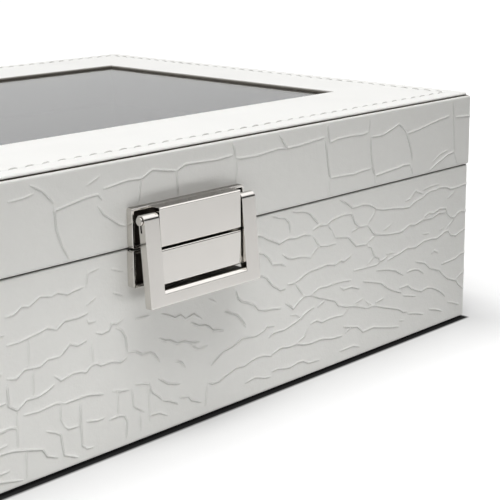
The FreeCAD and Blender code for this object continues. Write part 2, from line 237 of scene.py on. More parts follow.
@dataclass(frozen=True)
class Leatherette:
    """Coated cloth with a fine pore grain, worn a little on what stands proud."""

    name: str
    colour: tuple[float, float, float]
    roughness: float = 0.42
    pore: float = 0.55
    pore_depth: float = 0.018
    relief: str = ""
    embossed: bool = False
    crest: float = 0.4
    crest_width: float = 0.32
    # Near-black colour of the painted shade in the seams and under the foot.
    seam_shade: tuple[float, float, float] = (0.035, 0.03, 0.027)

    @lru_cache(maxsize=None)
    def material(self) -> bpy.types.Material:
        """The finish as a material."""
        paint = Paint(self.name)
        cloud = paint.noise(38.0, 3.0)
        mottle = paint.noise(3.5, 3.0)
        tone = paint.combine("ADD", paint.combine("MULTIPLY", cloud, 0.5), paint.combine("MULTIPLY", mottle, 0.5))
        colour = paint.blend(tone, opaque(self.colour, 0.955), opaque(self.colour, 1.025))
        rough = paint.spread(mottle, self.roughness - 0.05, self.roughness + 0.06, 0.3, 0.7)
        if self.relief:
            proud = paint.attribute(self.relief)
            # Painted shade: where the stitch line sinks, the colour darkens towards a deeper tone of itself.
            sunk = paint.spread(proud, 1.0, 0.0, -1.0, 0.0)
            colour = paint.blend(paint.combine("MULTIPLY", sunk, 0.3), colour, opaque(self.colour, 0.62))
            rough = paint.combine("SUBTRACT", rough, paint.spread(proud, 0.0, 0.1))
        pores = paint.spread(paint.cells(self.pore, "SMOOTH_F1"), 0.0, 1.0, 0.0, 0.7)
        skin = paint.bump(pores, self.pore_depth)
        skin = paint.bump(paint.noise(1.6, 3.0), self.pore_depth * 1.5, skin)
        if self.embossed:
            wrinkles = paint.noise(3.2, 4.0, paint.stretched((0.7, 0.7, 1.3)))
            skin = paint.bump(wrinkles, 0.12, skin)
            skin = paint.bump(paint.ridge("line_way", "line_force", self.crest_width), self.crest, skin)
            # Painted shade: rows turned into a seam or under the foot are darkened towards the near-black seam colour.
            colour = paint.blend(paint.attribute("seam_shade"), colour, opaque(self.seam_shade))
        return paint.finish({
            "Base Color": colour,
            "Roughness": rough,
            "Normal": skin,
            "Coat Weight": 0.08,
            "Coat Roughness": 0.3,
        })


@dataclass(frozen=True)
class TurnedEdge:
    """Leatherette turned round a board's edge, darkened towards its foot by painted shade."""

    name: str
    colour: tuple[float, float, float]
    # The near-black colour of the painted shade at the edge's foot.
    foot: tuple[float, float, float]
    low: float
    high: float

    @lru_cache(maxsize=None)
    def material(self) -> bpy.types.Material:
        """The finish as a material."""
        paint = Paint(self.name)
        streaks = paint.noise(1.4, 3.0, paint.stretched((0.4, 0.4, 1.6)))
        rise = paint.spread(paint.height(), 0.0, 1.0, self.low * MM, self.high * MM)
        rise = paint.combine("ADD", rise, paint.spread(streaks, -0.08, 0.08))
        # Painted shade: the colour runs from the dark foot colour up to the leatherette's own colour.
        middle = tuple(0.3 * colour + 0.55 * foot for colour, foot in zip(self.colour, self.foot))
        colour = paint.blend(paint.spread(rise, 0.0, 1.0, 0.0, 0.5), opaque(self.foot), opaque(middle))
        colour = paint.blend(paint.spread(rise, 0.0, 1.0, 0.5, 1.0), colour, opaque(self.colour))
        return paint.finish({
            "Base Color": colour,
            "Roughness": paint.spread(streaks, 0.5, 0.65),
            "Normal": paint.bump(streaks, 0.03),
        })


@dataclass(frozen=True)
class Thread:
    """Twisted polyester sewing thread."""

    name: str
    colour: tuple[float, float, float]

    @lru_cache(maxsize=None)
    def material(self) -> bpy.types.Material:
        """The finish as a material."""
        paint = Paint(self.name)
        strands = paint.noise(0.22, 2.0)
        colour = paint.blend(strands, opaque(self.colour, 0.85), opaque(self.colour, 1.05))
        return paint.finish({
            "Base Color": colour,
            "Roughness": paint.spread(strands, 0.45, 0.65),
            "Normal": paint.bump(strands, 0.05),
            "Sheen Weight": 0.25,
        })


@dataclass(frozen=True)
class Metal:
    """Plated metal, polished along one direction, with hairlines and handling haze."""

    name: str
    colour: tuple[float, float, float]
    roughness: float
    hairline: float = 0.004

    @lru_cache(maxsize=None)
    def material(self) -> bpy.types.Material:
        """The finish as a material."""
        paint = Paint(self.name)
        lines = paint.noise(0.5, 3.0, paint.stretched((0.02, 1.0, 1.0)))
        haze = paint.noise(7.0, 3.0)
        colour = paint.blend(haze, opaque(self.colour, 0.95), opaque(self.colour, 1.03))
        rough = paint.spread(haze, self.roughness * 0.7, self.roughness * 1.3, 0.3, 0.7)
        rough = paint.combine("ADD", rough, paint.spread(lines, 0.0, 0.03))
        return paint.finish({
            "Base Color": colour,
            "Metallic": 1.0,
            "Roughness": rough,
            "Normal": paint.bump(lines, self.hairline),
        })


@dataclass(frozen=True)
class Velvet:
    """Short pile with a sheen that shifts with the way the nap lies."""

    name: str
    colour: tuple[float, float, float]
    pile: float = 0.35
    depth: float = 0.12
    sheen: float = 0.35

    @lru_cache(maxsize=None)
    def material(self) -> bpy.types.Material:
        """The finish as a material."""
        paint = Paint(self.name)
        nap = paint.noise(14.0, 3.0, paint.stretched((1.0, 0.4, 0.6)))
        fibres = paint.noise(self.pile, 2.0)
        tone = paint.combine("ADD", paint.combine("MULTIPLY", nap, 0.7), paint.combine("MULTIPLY", fibres, 0.3))
        colour = paint.blend(tone, opaque(self.colour, 0.7), opaque(self.colour, 1.5))
        return paint.finish({
            "Base Color": colour,
            "Roughness": paint.spread(fibres, 0.8, 1.0),
            "Normal": paint.bump(fibres, self.depth),
            "Sheen Weight": self.sheen,
            "Sheen Roughness": 0.45,
            "Sheen Tint": opaque((0.3, 0.3, 0.32)),
            "Specular IOR Level": 0.1,
        })


@dataclass(frozen=True)
class FibreBoard:
    """Pressed board with short fibres and darker flecks."""

    name: str
    colour: tuple[float, float, float]

    @lru_cache(maxsize=None)
    def material(self) -> bpy.types.Material:
        """The finish as a material."""
        paint = Paint(self.name)
        fibres = paint.noise(1.1, 4.0, paint.stretched((0.35, 0.35, 1.0)))
        flecks = paint.spread(paint.cells(1.7), 1.0, 0.0, 0.05, 0.3)
        colour = paint.blend(fibres, opaque(self.colour, 0.75), opaque(self.colour, 1.3))
        colour = paint.blend(paint.combine("MULTIPLY", flecks, 0.4), colour, opaque(self.colour, 0.5))
        return paint.finish({
            "Base Color": colour,
            "Roughness": paint.spread(fibres, 0.7, 0.9),
            "Normal": paint.bump(fibres, 0.06),
            "Specular IOR Level": 0.3,
        })


@dataclass(frozen=True)
class Pane:
    """Clear float glass with a trace of wiping marks."""

    name: str
    tint: tuple[float, float, float]

    @lru_cache(maxsize=None)
    def material(self) -> bpy.types.Material:
        """The finish as a material."""
        paint = Paint(self.name)
        wipes = paint.noise(26.0, 4.0, paint.stretched((0.5, 1.0, 1.0)))
        colour = paint.blend(wipes, opaque(self.tint, 0.985), opaque(self.tint))
        return paint.finish({
            "Base Color": colour,
            "Roughness": paint.spread(wipes, 0.0, 0.02, 0.45, 0.75),
            "Normal": paint.bump(wipes, 0.0008),
            "Transmission Weight": 1.0,
            "IOR": 1.5,
        })


EMBOSSED = Leatherette("embossed_leatherette", (0.80, 0.795, 0.765), embossed=True)
SMOOTH = Leatherette("smooth_leatherette", (0.91, 0.905, 0.88), roughness=0.4, pore=0.4,
                     pore_depth=0.01, relief="relief")
# The dark second colour is painted shade at the foot of the window's turned edge.
TURNED_EDGE = TurnedEdge("turned_window_edge", (0.88, 0.87, 0.83), (0.11, 0.1, 0.083), 84.25, 84.98)
# The thread's grey is partly painted shade: a pale thread darkened to the grey of its shaded sides.
STITCH = Thread("sewing_thread", (0.6, 0.595, 0.57))
NICKEL = Metal("polished_nickel", (0.675, 0.653, 0.622), 0.1)
# Upward faces: the higher roughness is a brushed finish, the dark colour a painted dark reflection.
BRUSHED_SHADED_NICKEL = Metal("brushed_nickel_painted_dark", (0.33, 0.31, 0.29), 0.25, 0.02)
# Near-black metal for tray insides and the catch lip: painted shade where they lie in shadow.
SHADED_STAMPING = Metal("painted_shade_stamping", (0.045, 0.038, 0.033), 0.45, 0.01)
HINGE_PLATE = Metal("nickel_plate", (0.62, 0.6, 0.57), 0.26, 0.008)
LINING = Velvet("dark_velvet", (0.018, 0.018, 0.02), sheen=0.08)
FELT = Velvet("sole_felt", (0.012, 0.012, 0.013), pile=0.6, depth=0.2, sheen=0.05)
BOARD = FibreBoard("fibre_board", (0.3, 0.21, 0.13))
# A much darker copy of the board, for the top boards round the window and the floor board.
DARK_BOARD = FibreBoard("dark_fibre_board", (0.075, 0.058, 0.042))
GLASS = Pane("clear_glass", (0.97, 0.985, 0.98))


# Mesh handling


def deselect() -> None:
    """Leaves edit mode and selects nothing."""
    if bpy.context.object and bpy.context.object.mode != "OBJECT":
        bpy.ops.object.mode_set(mode="OBJECT")
    bpy.ops.object.select_all(action="DESELECT")


def activate(thing: bpy.types.Object) -> None:
    """Selects one object alone and makes it the active one."""
    deselect()
    thing.select_set(True)
    bpy.context.view_layer.objects.active = thing


@contextmanager
def editing(thing: bpy.types.Object) -> Iterator[bpy.types.Object]:
    """Edit mode on one object, with all of it selected at the start."""
    activate(thing)
    bpy.ops.object.mode_set(mode="EDIT")
    bpy.ops.mesh.select_all(action="SELECT")
    yield thing
    bpy.ops.object.mode_set(mode="OBJECT")


def apply_modifier(thing: bpy.types.Object, kind: str, **settings: object) -> None:
    """Adds a modifier with these settings and applies it."""
    activate(thing)
    modifier = thing.modifiers.new(kind.title(), kind)
    for key, value in settings.items():
        setattr(modifier, key, value)
    bpy.ops.object.modifier_apply(modifier=modifier.name)


def as_object(name: str, points: np.ndarray, faces: Sequence[Sequence[int]]) -> bpy.types.Object:
    """A mesh object from points in millimetres.

    Args:
        name: The piece's name.
        points: One row of three values per point.
        faces: The point numbers round each face.

    Returns:
        The linked object.
    """
    mesh = bpy.data.meshes.new(name)
    mesh.from_pydata((points * MM).tolist(), [], faces)
    thing = bpy.data.objects.new(name, mesh)
    bpy.context.scene.collection.objects.link(thing)
    return thing


def store(thing: bpy.types.Object, name: str, values: np.ndarray) -> None:
    """Keeps one value per point on the mesh, for the materials."""
    layer = thing.data.attributes.new(name, "FLOAT", "POINT")
    layer.data.foreach_set("value", values.astype(np.float32))


def store_way(thing: bpy.types.Object, name: str, values: np.ndarray) -> None:
    """Keeps one vector per point on the mesh, for the materials."""
    layer = thing.data.attributes.new(name, "FLOAT_VECTOR", "POINT")
    layer.data.foreach_set("vector", values.astype(np.float32).ravel())


def settle(thing: bpy.types.Object, body: str, look: bpy.types.Material,
           nodes: Sequence[str] = ()) -> bpy.types.Object:
    """Dresses a finished piece, ties it to its body and hides what it stands for.

    Args:
        thing: The finished piece.
        body: The CAD body that it moves with.
        look: The material.
        nodes: The CAD nodes that it replaces.

    Returns:
        The piece.
    """
    thing.data.materials.clear()
    thing.data.materials.append(look)
    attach(thing, body)
    if nodes:
        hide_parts(*nodes)
    log.info("%s: %d faces on %s", thing.name, len(thing.data.polygons), body)
    return thing


def dress(look: bpy.types.Material, *nodes: str) -> None:
    """Gives CAD nodes that stay a material."""
    for name in nodes:
        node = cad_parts[name]
        if not node.material_slots:
            node.data.materials.append(look)
        for place in node.material_slots:
            place.material = look
        log.info("%s: kept and dressed", name)


def softened(node: str, name: str, radius: float, steps: int = 3, sharp: float = 28.0,
             prepare: Callable[[bpy.types.Object], None] | None = None) -> bpy.types.Object:
    """A copy of a CAD node with its edges rounded.

    Args:
        node: The CAD node.
        name: The new piece's name.
        radius: How wide the rounding is, in millimetres.
        steps: How many faces go across a rounding.
        sharp: The angle in degrees from which an edge is rounded.
        prepare: Work on the copy before its edges are rounded.

    Returns:
        The new piece.
    """
    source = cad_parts[node]
    thing = bpy.data.objects.new(name, source.data.copy())
    thing.data.transform(source.matrix_world)
    bpy.context.scene.collection.objects.link(thing)
    with editing(thing):
        bpy.ops.mesh.remove_doubles(threshold=0.001 * MM)
        bpy.ops.mesh.dissolve_limited(angle_limit=math.radians(0.5))
    if prepare:
        prepare(thing)
    apply_modifier(thing, "BEVEL", width=radius * MM, segments=steps, limit_method="ANGLE",
                   angle_limit=math.radians(sharp), use_clamp_overlap=True, miter_outer="MITER_ARC")
    with editing(thing):
        bpy.ops.mesh.remove_doubles(threshold=0.0005 * MM)
    activate(thing)
    bpy.ops.object.shade_smooth_by_angle(angle=math.radians(35.0))
    apply_modifier(thing, "WEIGHTED_NORMAL", mode="FACE_AREA", weight=90, keep_sharp=True)
    return thing


def closed_shell(outer: np.ndarray, inner: np.ndarray, row_marks: Sequence[int],
                 column_marks: Sequence[int]) -> tuple[np.ndarray, list[list[int]]]:
    """Joins a fine outer grid and a coarse inner grid into one closed skin.

    Args:
        outer: Points as rows by columns by 3, seen from outside right and up.
        inner: The few points behind it, one row and column per mark.
        row_marks: The outer rows that the inner rows lie behind.
        column_marks: The outer columns that the inner columns lie behind.

    Returns:
        The points and the faces.
    """
    rows, columns = outer.shape[:2]
    few_rows, few_columns = inner.shape[:2]
    front = np.arange(rows * columns).reshape(rows, columns)
    back = rows * columns + np.arange(few_rows * few_columns).reshape(few_rows, few_columns)
    quads = np.stack([front[:-1, :-1], front[:-1, 1:], front[1:, 1:], front[1:, :-1]], -1)
    faces = quads.reshape(-1, 4).tolist()
    hidden = np.stack([back[:-1, :-1], back[1:, :-1], back[1:, 1:], back[:-1, 1:]], -1)
    faces += hidden.reshape(-1, 4).tolist()
    for index, (start, end) in enumerate(zip(column_marks[:-1], column_marks[1:])):
        run = front[0, start:end + 1].tolist()
        faces.append(run[::-1] + [int(back[0, index]), int(back[0, index + 1])])
        run = front[-1, start:end + 1].tolist()
        faces.append(run + [int(back[-1, index + 1]), int(back[-1, index])])
    for index, (start, end) in enumerate(zip(row_marks[:-1], row_marks[1:])):
        run = front[start:end + 1, 0].tolist()
        faces.append(run + [int(back[index + 1, 0]), int(back[index, 0])])
        run = front[start:end + 1, -1].tolist()
        faces.append(run[::-1] + [int(back[index, -1]), int(back[index + 1, -1])])
    points = np.concatenate([outer.reshape(-1, 3), inner.reshape(-1, 3)])
    return points, faces


def smooth_step(value: np.ndarray) -> np.ndarray:
    """A soft ramp from 0 to 1."""
    value = np.clip(value, 0.0, 1.0)
    return value * value * (3.0 - 2.0 * value)


def waves(x: np.ndarray, y: np.ndarray, size: float, seed: int, count: int = 7) -> np.ndarray:
    """Smooth seeded noise between about -1 and 1, with waves about size long."""
    draw = np.random.default_rng(seed)
    total = np.zeros_like(x)
    for _ in range(count):
        angle = draw.uniform(0.0, 2.0 * math.pi)
        pitch = 2.0 * math.pi / (size * draw.uniform(0.7, 1.6))
        phase = draw.uniform(0.0, 2.0 * math.pi)
        total += np.sin(pitch * (x * math.cos(angle) + y * math.sin(angle)) + phase)
    return total / math.sqrt(count / 2.0) / 1.6


# Embossed skins


# Pressed lines of the front as drawn from the photograph: how strong each is, then its
# places along the wall and up it in millimetres.
LID_LINES = (
    (0.8, (-60.5, 78.4), (-56.0, 78.6), (-53.0, 79.2)),
    (0.9, (-53.5, 81.6), (-49.8, 79.4), (-46.6, 75.9)),
    (1.0, (-46.6, 73.6), (-43.0, 74.2), (-36.2, 75.4), (-31.7, 75.6), (-30.4, 74.2)),
    (0.9, (-31.8, 72.5), (-30.0, 69.9), (-24.4, 66.0), (-22.6, 65.4)),
    (0.8, (-46.4, 75.0), (-46.1, 68.6), (-44.6, 64.1), (-42.3, 60.0)),
    (0.8, (-29.5, 76.9), (-20.9, 77.9), (-16.1, 77.6), (-11.9, 79.5), (-6.4, 78.4), (-2.9, 77.8)),
    (0.8, (-2.9, 77.8), (0.6, 79.2), (13.8, 78.7), (19.7, 79.1)),
    (0.6, (-16.2, 77.5), (-17.5, 71.0)),
    (0.7, (-2.9, 77.8), (-2.4, 71.0)),
    (0.8, (20.0, 82.5), (21.2, 78.2)),
    (0.5, (21.8, 77.6), (21.0, 70.5)),
    (1.0, (21.2, 78.2), (22.5, 77.7), (30.4, 77.5), (39.5, 78.3), (43.8, 77.9)),
    (0.5, (-35.3, 78.7), (-33.0, 79.6), (-30.8, 80.5)),
    (1.0, (40.3, 82.4), (42.4, 79.4), (43.8, 77.9), (50.0, 78.0), (56.0, 78.6), (61.2, 78.9)),
    (1.0, (62.8, 82.8), (63.2, 79.5), (64.0, 77.0)),
    (1.0, (64.0, 77.0), (67.8, 77.7), (75.0, 77.8), (79.9, 77.4), (83.0, 77.8)),
    (1.0, (61.7, 78.0), (62.6, 72.0), (63.6, 66.6), (64.5, 65.4)),
    (1.0, (64.5, 65.4), (69.9, 65.2), (76.0, 64.8), (80.0, 65.3), (84.5, 65.4)),
    (0.5, (63.5, 64.5), (63.2, 59.6)),
    (0.6, (84.0, 82.5), (83.8, 78.0)),
    (1.0, (84.6, 76.0), (85.0, 70.0), (86.0, 65.0), (87.2, 62.6)),
    (1.0, (87.2, 62.6), (92.1, 62.9), (97.0, 63.3), (100.0, 63.4), (102.5, 63.9), (106.5, 63.7)),
    (0.7, (87.2, 62.6), (87.5, 59.6)),
    (0.9, (106.5, 63.7), (108.4, 59.8)),
    (1.0, (85.2, 76.0), (91.0, 75.9), (96.3, 77.3), (99.7, 78.5), (102.2, 77.0), (104.2, 75.0)),
    (0.9, (104.2, 74.6), (110.8, 75.2), (117.0, 76.3), (123.3, 77.2), (128.9, 77.8)),
    (0.9, (104.2, 74.8), (106.3, 70.0), (107.7, 65.2)),
    (0.8, (131.3, 82.5), (131.4, 76.5), (132.0, 70.0), (132.7, 64.5)),
    (0.8, (133.2, 76.9), (140.0, 76.4), (145.0, 76.6)),
    (0.8, (117.5, 59.6), (123.0, 62.0), (128.9, 64.1), (132.5, 64.4)),
    (0.5, (119.5, 62.5), (124.0, 64.8), (128.9, 65.6)),
    (0.5, (132.7, 64.5), (134.0, 61.0), (135.0, 59.6)),
)
BASE_LINES = (
    (0.8, (-63.0, 48.5), (-60.5, 48.6), (-58.0, 50.2), (-55.7, 49.7), (-52.0, 51.6), (-48.0, 50.8)),
    (0.9, (-48.0, 50.8), (-46.4, 51.4), (-43.0, 50.2), (-40.5, 50.8), (-37.8, 50.9)),
    (0.8, (-63.0, 40.9), (-59.0, 40.9), (-55.0, 41.6), (-52.8, 41.9), (-50.3, 42.6), (-47.2, 41.3)),
    (0.9, (-47.2, 41.3), (-44.4, 43.1), (-40.0, 42.9), (-36.6, 43.4)),
    (0.8, (-63.5, 31.8), (-60.9, 31.2), (-58.2, 33.0), (-53.0, 32.5), (-50.6, 33.8), (-46.4, 33.6)),
    (0.9, (-46.4, 33.6), (-43.0, 36.2), (-40.5, 35.2), (-37.5, 35.7)),
    (0.9, (-63.8, 30.0), (-63.8, 24.4), (-61.1, 22.5), (-57.9, 24.5), (-54.0, 24.3), (-51.0, 25.2), (-48.8, 26.2)),
    (0.8, (-48.5, 28.6), (-46.4, 26.8), (-42.5, 27.7), (-39.5, 27.4), (-37.8, 26.8), (-36.1, 28.2)),
    (0.9, (-36.1, 28.2), (-34.1, 28.4), (-32.5, 27.4), (-28.7, 27.4), (-25.3, 26.4), (-23.2, 27.2)),
    (0.7, (-22.9, 28.7), (-19.9, 28.2), (-17.3, 26.6), (-14.5, 26.4), (-13.0, 25.6), (-11.0, 22.8)),
    (0.7, (-59.1, 20.6), (-54.2, 20.2), (-48.4, 20.8), (-45.7, 19.9)),
    (1.0, (-45.7, 19.9), (-42.5, 20.0), (-39.0, 20.1), (-36.6, 19.9), (-32.2, 18.8)),
    (0.8, (-28.5, 18.6), (-25.8, 17.9), (-22.9, 17.5)),
    (0.8, (-20.2, 18.4), (-17.5, 17.9), (-15.3, 17.2), (-14.0, 14.2), (-11.6, 12.3), (-10.1, 10.6)),
    (1.0, (-10.1, 10.6), (-7.2, 9.6), (-4.2, 7.9)),
    (0.8, (-72.0, 18.6), (-66.0, 18.4), (-63.5, 18.3), (-61.3, 17.4)),
    (1.0, (-72.0, 11.6), (-66.0, 11.9), (-63.0, 11.6), (-60.1, 10.9), (-57.2, 10.1), (-53.7, 9.1), (-52.2, 6.7),
     (-48.8, 5.3)),
    (0.9, (-70.0, 4.6), (-66.0, 3.9), (-60.6, 2.6)),
    (0.8, (-52.0, 13.8), (-49.1, 12.6), (-47.4, 11.4), (-47.0, 8.0), (-46.5, 5.2), (-42.0, 3.2)),
    (0.6, (-47.0, 19.8), (-47.2, 16.0), (-45.9, 13.4)),
    (0.8, (-45.9, 13.4), (-44.7, 12.3), (-41.5, 12.1)),
    (0.7, (-40.3, 18.4), (-40.4, 12.0), (-40.2, 6.0), (-38.5, 4.6), (-36.5, 4.4)),
    (0.9, (-38.1, 12.5), (-34.6, 11.7), (-32.4, 11.7)),
    (0.8, (-30.2, 10.6), (-26.8, 10.8), (-24.8, 10.2), (-23.9, 8.4), (-24.4, 3.6)),
    (0.5, (-27.0, 17.8), (-27.0, 11.0)),
    (0.7, (-21.7, 17.2), (-21.3, 12.2), (-20.4, 11.3), (-17.3, 9.2)),
    (0.6, (-18.9, 9.0), (-18.8, 4.0)),
    (0.5, (-15.6, 16.8), (-15.3, 6.0)),
    (0.8, (-15.2, 7.5), (-11.6, 7.2), (-8.4, 5.5)),
    (0.9, (-11.3, 17.6), (-7.9, 15.2), (-3.3, 13.8)),
    (0.8, (-9.6, 36.7), (-7.5, 36.0), (-4.5, 34.4), (-2.3, 34.7), (-0.3, 33.0)),
    (0.8, (-0.3, 33.0), (2.9, 33.8), (6.1, 31.6)),
    (0.9, (2.0, 31.3), (5.1, 29.6), (7.4, 29.3), (9.1, 28.4), (10.8, 26.8), (13.0, 26.4), (15.2, 25.7)),
    (0.8, (-10.5, 29.6), (-8.5, 28.4), (-6.7, 28.1), (-3.7, 26.3), (-1.3, 26.5), (2.1, 25.1), (5.0, 24.6)),
    (0.6, (1.8, 24.0), (4.8, 22.5), (8.3, 22.6)),
    (0.8, (-4.6, 21.1), (-2.8, 20.5), (-0.9, 18.6)),
    (0.9, (-3.3, 9.6), (0.2, 8.8), (1.4, 7.3), (5.2, 5.7)),
    (0.7, (7.8, 10.0), (7.0, 4.2)),
    (0.5, (-36.0, 55.5), (-36.5, 51.0)),
    (0.6, (-35.4, 54.6), (-32.2, 55.1)),
    (0.6, (-27.3, 53.9), (-23.4, 52.6)),
    (0.6, (-36.6, 45.8), (-33.6, 47.2)),
    (0.9, (-27.0, 47.0), (-24.1, 45.8)),
    (0.7, (-36.6, 41.6), (-36.2, 40.6), (-33.9, 40.5)),
    (0.8, (-33.6, 37.1), (-31.7, 36.4), (-29.2, 36.8), (-28.3, 38.6), (-26.3, 38.0), (-24.3, 38.8)),
    (0.8, (-26.5, 36.7), (-24.8, 35.7), (-23.4, 33.3), (-23.1, 29.0)),
    (0.8, (-19.4, 37.7), (-14.5, 37.4)),
    (0.5, (-35.5, 35.0), (-35.2, 29.0)),
    (0.5, (-56.3, 40.4), (-56.6, 34.0)),
    (0.5, (-55.4, 32.0), (-55.8, 25.0)),
    (0.5, (-61.3, 21.4), (-61.6, 12.0)),
    (0.5, (-59.0, 10.4), (-59.1, 3.0)),
    (1.0, (30.0, 52.7), (32.6, 51.9), (35.0, 50.5), (37.5, 49.4), (40.2, 48.1), (44.4, 49.0), (48.5, 48.4),
     (52.0, 48.8), (55.4, 47.9)),
    (0.9, (36.5, 57.8), (40.2, 56.4), (43.1, 55.7), (44.9, 54.0), (45.4, 51.0)),
    (1.0, (45.0, 58.0), (48.0, 56.9), (52.0, 56.3), (54.4, 55.4), (55.9, 54.0), (57.6, 52.2), (59.3, 50.9)),
    (1.0, (56.4, 49.6), (59.3, 50.5), (63.2, 50.0), (65.7, 51.3), (71.9, 51.9), (75.4, 51.4), (77.3, 48.1),
     (79.8, 46.3), (84.2, 45.9)),
    (0.8, (63.4, 49.9), (65.6, 47.8)),
    (0.9, (30.0, 47.3), (33.3, 46.1), (35.3, 44.3), (37.0, 42.0), (40.7, 41.5), (43.2, 40.3)),
    (0.9, (41.9, 44.2), (44.3, 42.6), (46.6, 42.0), (49.0, 42.0), (52.0, 41.5), (55.4, 40.6)),
    (0.9, (56.4, 47.3), (58.4, 44.6), (59.6, 43.6), (63.7, 42.9), (67.4, 42.9)),
    (0.8, (55.6, 41.2), (57.6, 42.8), (59.6, 43.6)),
    (0.6, (65.6, 47.8), (67.4, 45.0)),
    (1.0, (67.4, 45.0), (71.9, 44.2), (74.0, 43.7), (75.8, 41.9), (78.0, 40.1), (83.9, 39.5)),
    (0.8, (76.0, 45.4), (79.8, 46.3)),
    (1.0, (29.9, 40.0), (32.6, 39.2), (34.3, 38.2), (36.0, 36.2), (37.2, 35.0), (39.3, 33.8), (40.6, 32.9),
     (43.1, 32.9)),
    (1.0, (44.3, 34.0), (47.5, 33.8), (50.0, 34.7), (52.5, 35.6), (55.6, 36.2), (58.8, 36.2), (63.2, 36.6),
     (67.2, 35.7), (70.0, 36.6), (71.6, 36.0), (75.4, 37.1)),
    (0.8, (47.8, 33.5), (49.5, 31.1), (51.5, 28.9)),
    (1.0, (20.4, 37.4), (21.6, 34.5), (23.3, 33.0), (26.0, 32.1), (28.9, 30.6), (30.6, 28.8), (33.3, 28.0),
     (36.5, 27.6), (40.7, 26.9)),
    (1.0, (15.9, 31.4), (18.6, 30.3), (21.3, 29.1), (23.5, 26.7), (24.8, 24.7)),
    (0.7, (9.4, 37.0), (12.0, 35.5)),
    (1.0, (43.0, 28.0), (45.1, 26.7), (46.6, 25.4), (49.0, 26.9), (52.0, 28.4), (55.4, 27.9), (59.3, 26.2),
     (62.7, 25.0), (67.2, 23.4), (69.0, 21.3), (72.9, 20.0), (76.8, 19.3), (80.7, 18.1), (84.2, 16.9)),
    (1.0, (84.2, 16.9), (87.1, 17.0), (89.6, 16.4), (93.5, 15.0), (97.9, 13.7), (102.3, 12.2), (104.3, 10.9),
     (106.7, 10.4)),
    (0.9, (56.1, 28.4), (59.3, 29.5), (63.2, 29.2), (67.2, 29.4), (71.9, 29.2), (75.4, 28.7)),
    (1.0, (10.0, 16.3), (12.0, 17.6), (15.2, 19.3), (19.6, 19.9), (23.5, 21.3), (27.5, 20.8), (29.9, 20.6),
     (32.8, 21.3), (34.3, 22.4), (37.7, 21.8)),
    (0.9, (35.3, 18.6), (37.0, 19.6), (42.6, 19.4), (48.0, 20.6), (50.3, 21.4), (52.0, 22.3), (54.4, 23.2),
     (56.6, 23.5)),
    (0.7, (45.6, 23.5), (48.0, 23.0), (51.0, 21.0)),
    (0.8, (58.8, 23.2), (62.3, 24.8)),
    (0.9, (55.2, 18.3), (57.8, 18.8), (60.8, 17.5), (64.7, 17.9), (68.0, 17.7), (71.6, 17.4)),
    (0.7, (71.9, 17.4), (73.9, 18.8)),
    (0.9, (8.3, 11.0), (10.2, 10.1), (13.2, 10.1), (15.2, 11.0), (18.1, 11.8), (20.6, 12.4), (24.5, 12.1),
     (26.5, 12.9), (29.4, 13.4), (32.4, 13.3), (36.5, 12.1)),
    (1.0, (36.8, 12.6), (39.2, 13.4), (40.9, 13.8), (44.1, 13.1), (48.5, 13.1), (51.5, 12.1), (55.4, 11.6),
     (59.8, 11.8), (63.2, 11.2), (65.7, 10.6), (71.1, 10.2)),
    (0.8, (48.8, 13.6), (52.2, 14.8), (53.4, 17.0)),
    (0.8, (24.5, 6.4), (28.4, 7.1), (30.4, 6.6), (33.3, 5.7), (35.8, 5.4)),
    (0.9, (36.5, 6.9), (39.2, 7.1), (42.2, 6.4), (45.1, 6.0), (49.0, 6.7), (51.5, 6.5), (53.9, 5.2), (59.3, 4.7)),
    (1.0, (69.0, 57.6), (70.5, 56.8), (73.9, 54.9), (75.6, 53.6), (77.8, 53.4), (81.2, 53.6), (84.7, 53.0),
     (87.1, 51.9), (88.6, 50.9), (92.5, 50.0), (96.9, 49.6), (99.9, 49.2), (103.8, 48.6), (107.7, 48.4)),
    (1.0, (107.7, 48.4), (109.7, 49.6), (112.1, 50.2), (115.1, 50.6), (117.0, 51.6), (120.0, 52.3), (122.4, 52.1),
     (124.4, 52.6), (129.3, 51.9), (131.2, 51.0), (135.2, 50.9), (139.6, 51.3), (145.0, 51.6)),
    (0.8, (105.0, 50.9), (107.7, 51.4), (110.4, 53.7), (112.1, 52.9), (115.0, 51.8)),
    (0.5, (115.0, 53.2), (119.0, 53.8), (124.0, 53.9)),
    (1.0, (84.2, 45.9), (85.2, 44.8), (86.6, 43.2), (88.6, 42.0), (93.5, 41.1), (97.4, 40.6), (101.8, 40.3),
     (103.8, 40.6), (107.2, 42.0), (110.2, 41.4), (115.1, 42.4), (120.5, 42.1), (124.4, 43.2), (128.5, 42.6)),
    (0.9, (115.5, 43.2), (118.5, 44.3), (121.2, 43.7), (124.9, 44.7), (128.8, 44.2), (130.0, 41.8)),
    (1.0, (130.0, 41.8), (132.2, 40.2), (134.9, 40.1), (136.1, 41.1), (138.1, 41.6), (140.5, 41.2), (145.0, 41.0)),
    (0.9, (84.9, 40.3), (88.1, 41.7)),
    (0.9, (84.4, 38.6), (86.1, 38.1), (87.1, 35.8), (88.0, 34.5), (90.1, 33.5), (91.0, 32.2), (93.0, 32.3),
     (95.0, 33.1)),
    (0.9, (77.1, 31.7), (80.7, 31.6), (84.7, 31.4), (89.1, 31.2), (91.0, 32.1)),
    (0.6, (84.4, 32.5), (87.6, 34.2)),
    (1.0, (95.3, 31.6), (98.4, 32.2), (102.3, 32.8), (106.2, 33.8), (111.1, 33.1), (115.8, 34.5), (120.0, 34.5),
     (123.6, 34.0), (126.3, 34.8), (128.3, 35.6), (130.5, 35.6), (132.2, 33.7), (135.4, 32.9), (138.1, 33.8)),
    (0.9, (138.1, 33.8), (141.5, 34.5), (145.0, 34.7)),
    (0.7, (94.5, 34.1), (98.9, 33.6)),
    (0.8, (130.0, 36.0), (130.3, 37.2), (132.2, 38.2), (134.2, 39.6)),
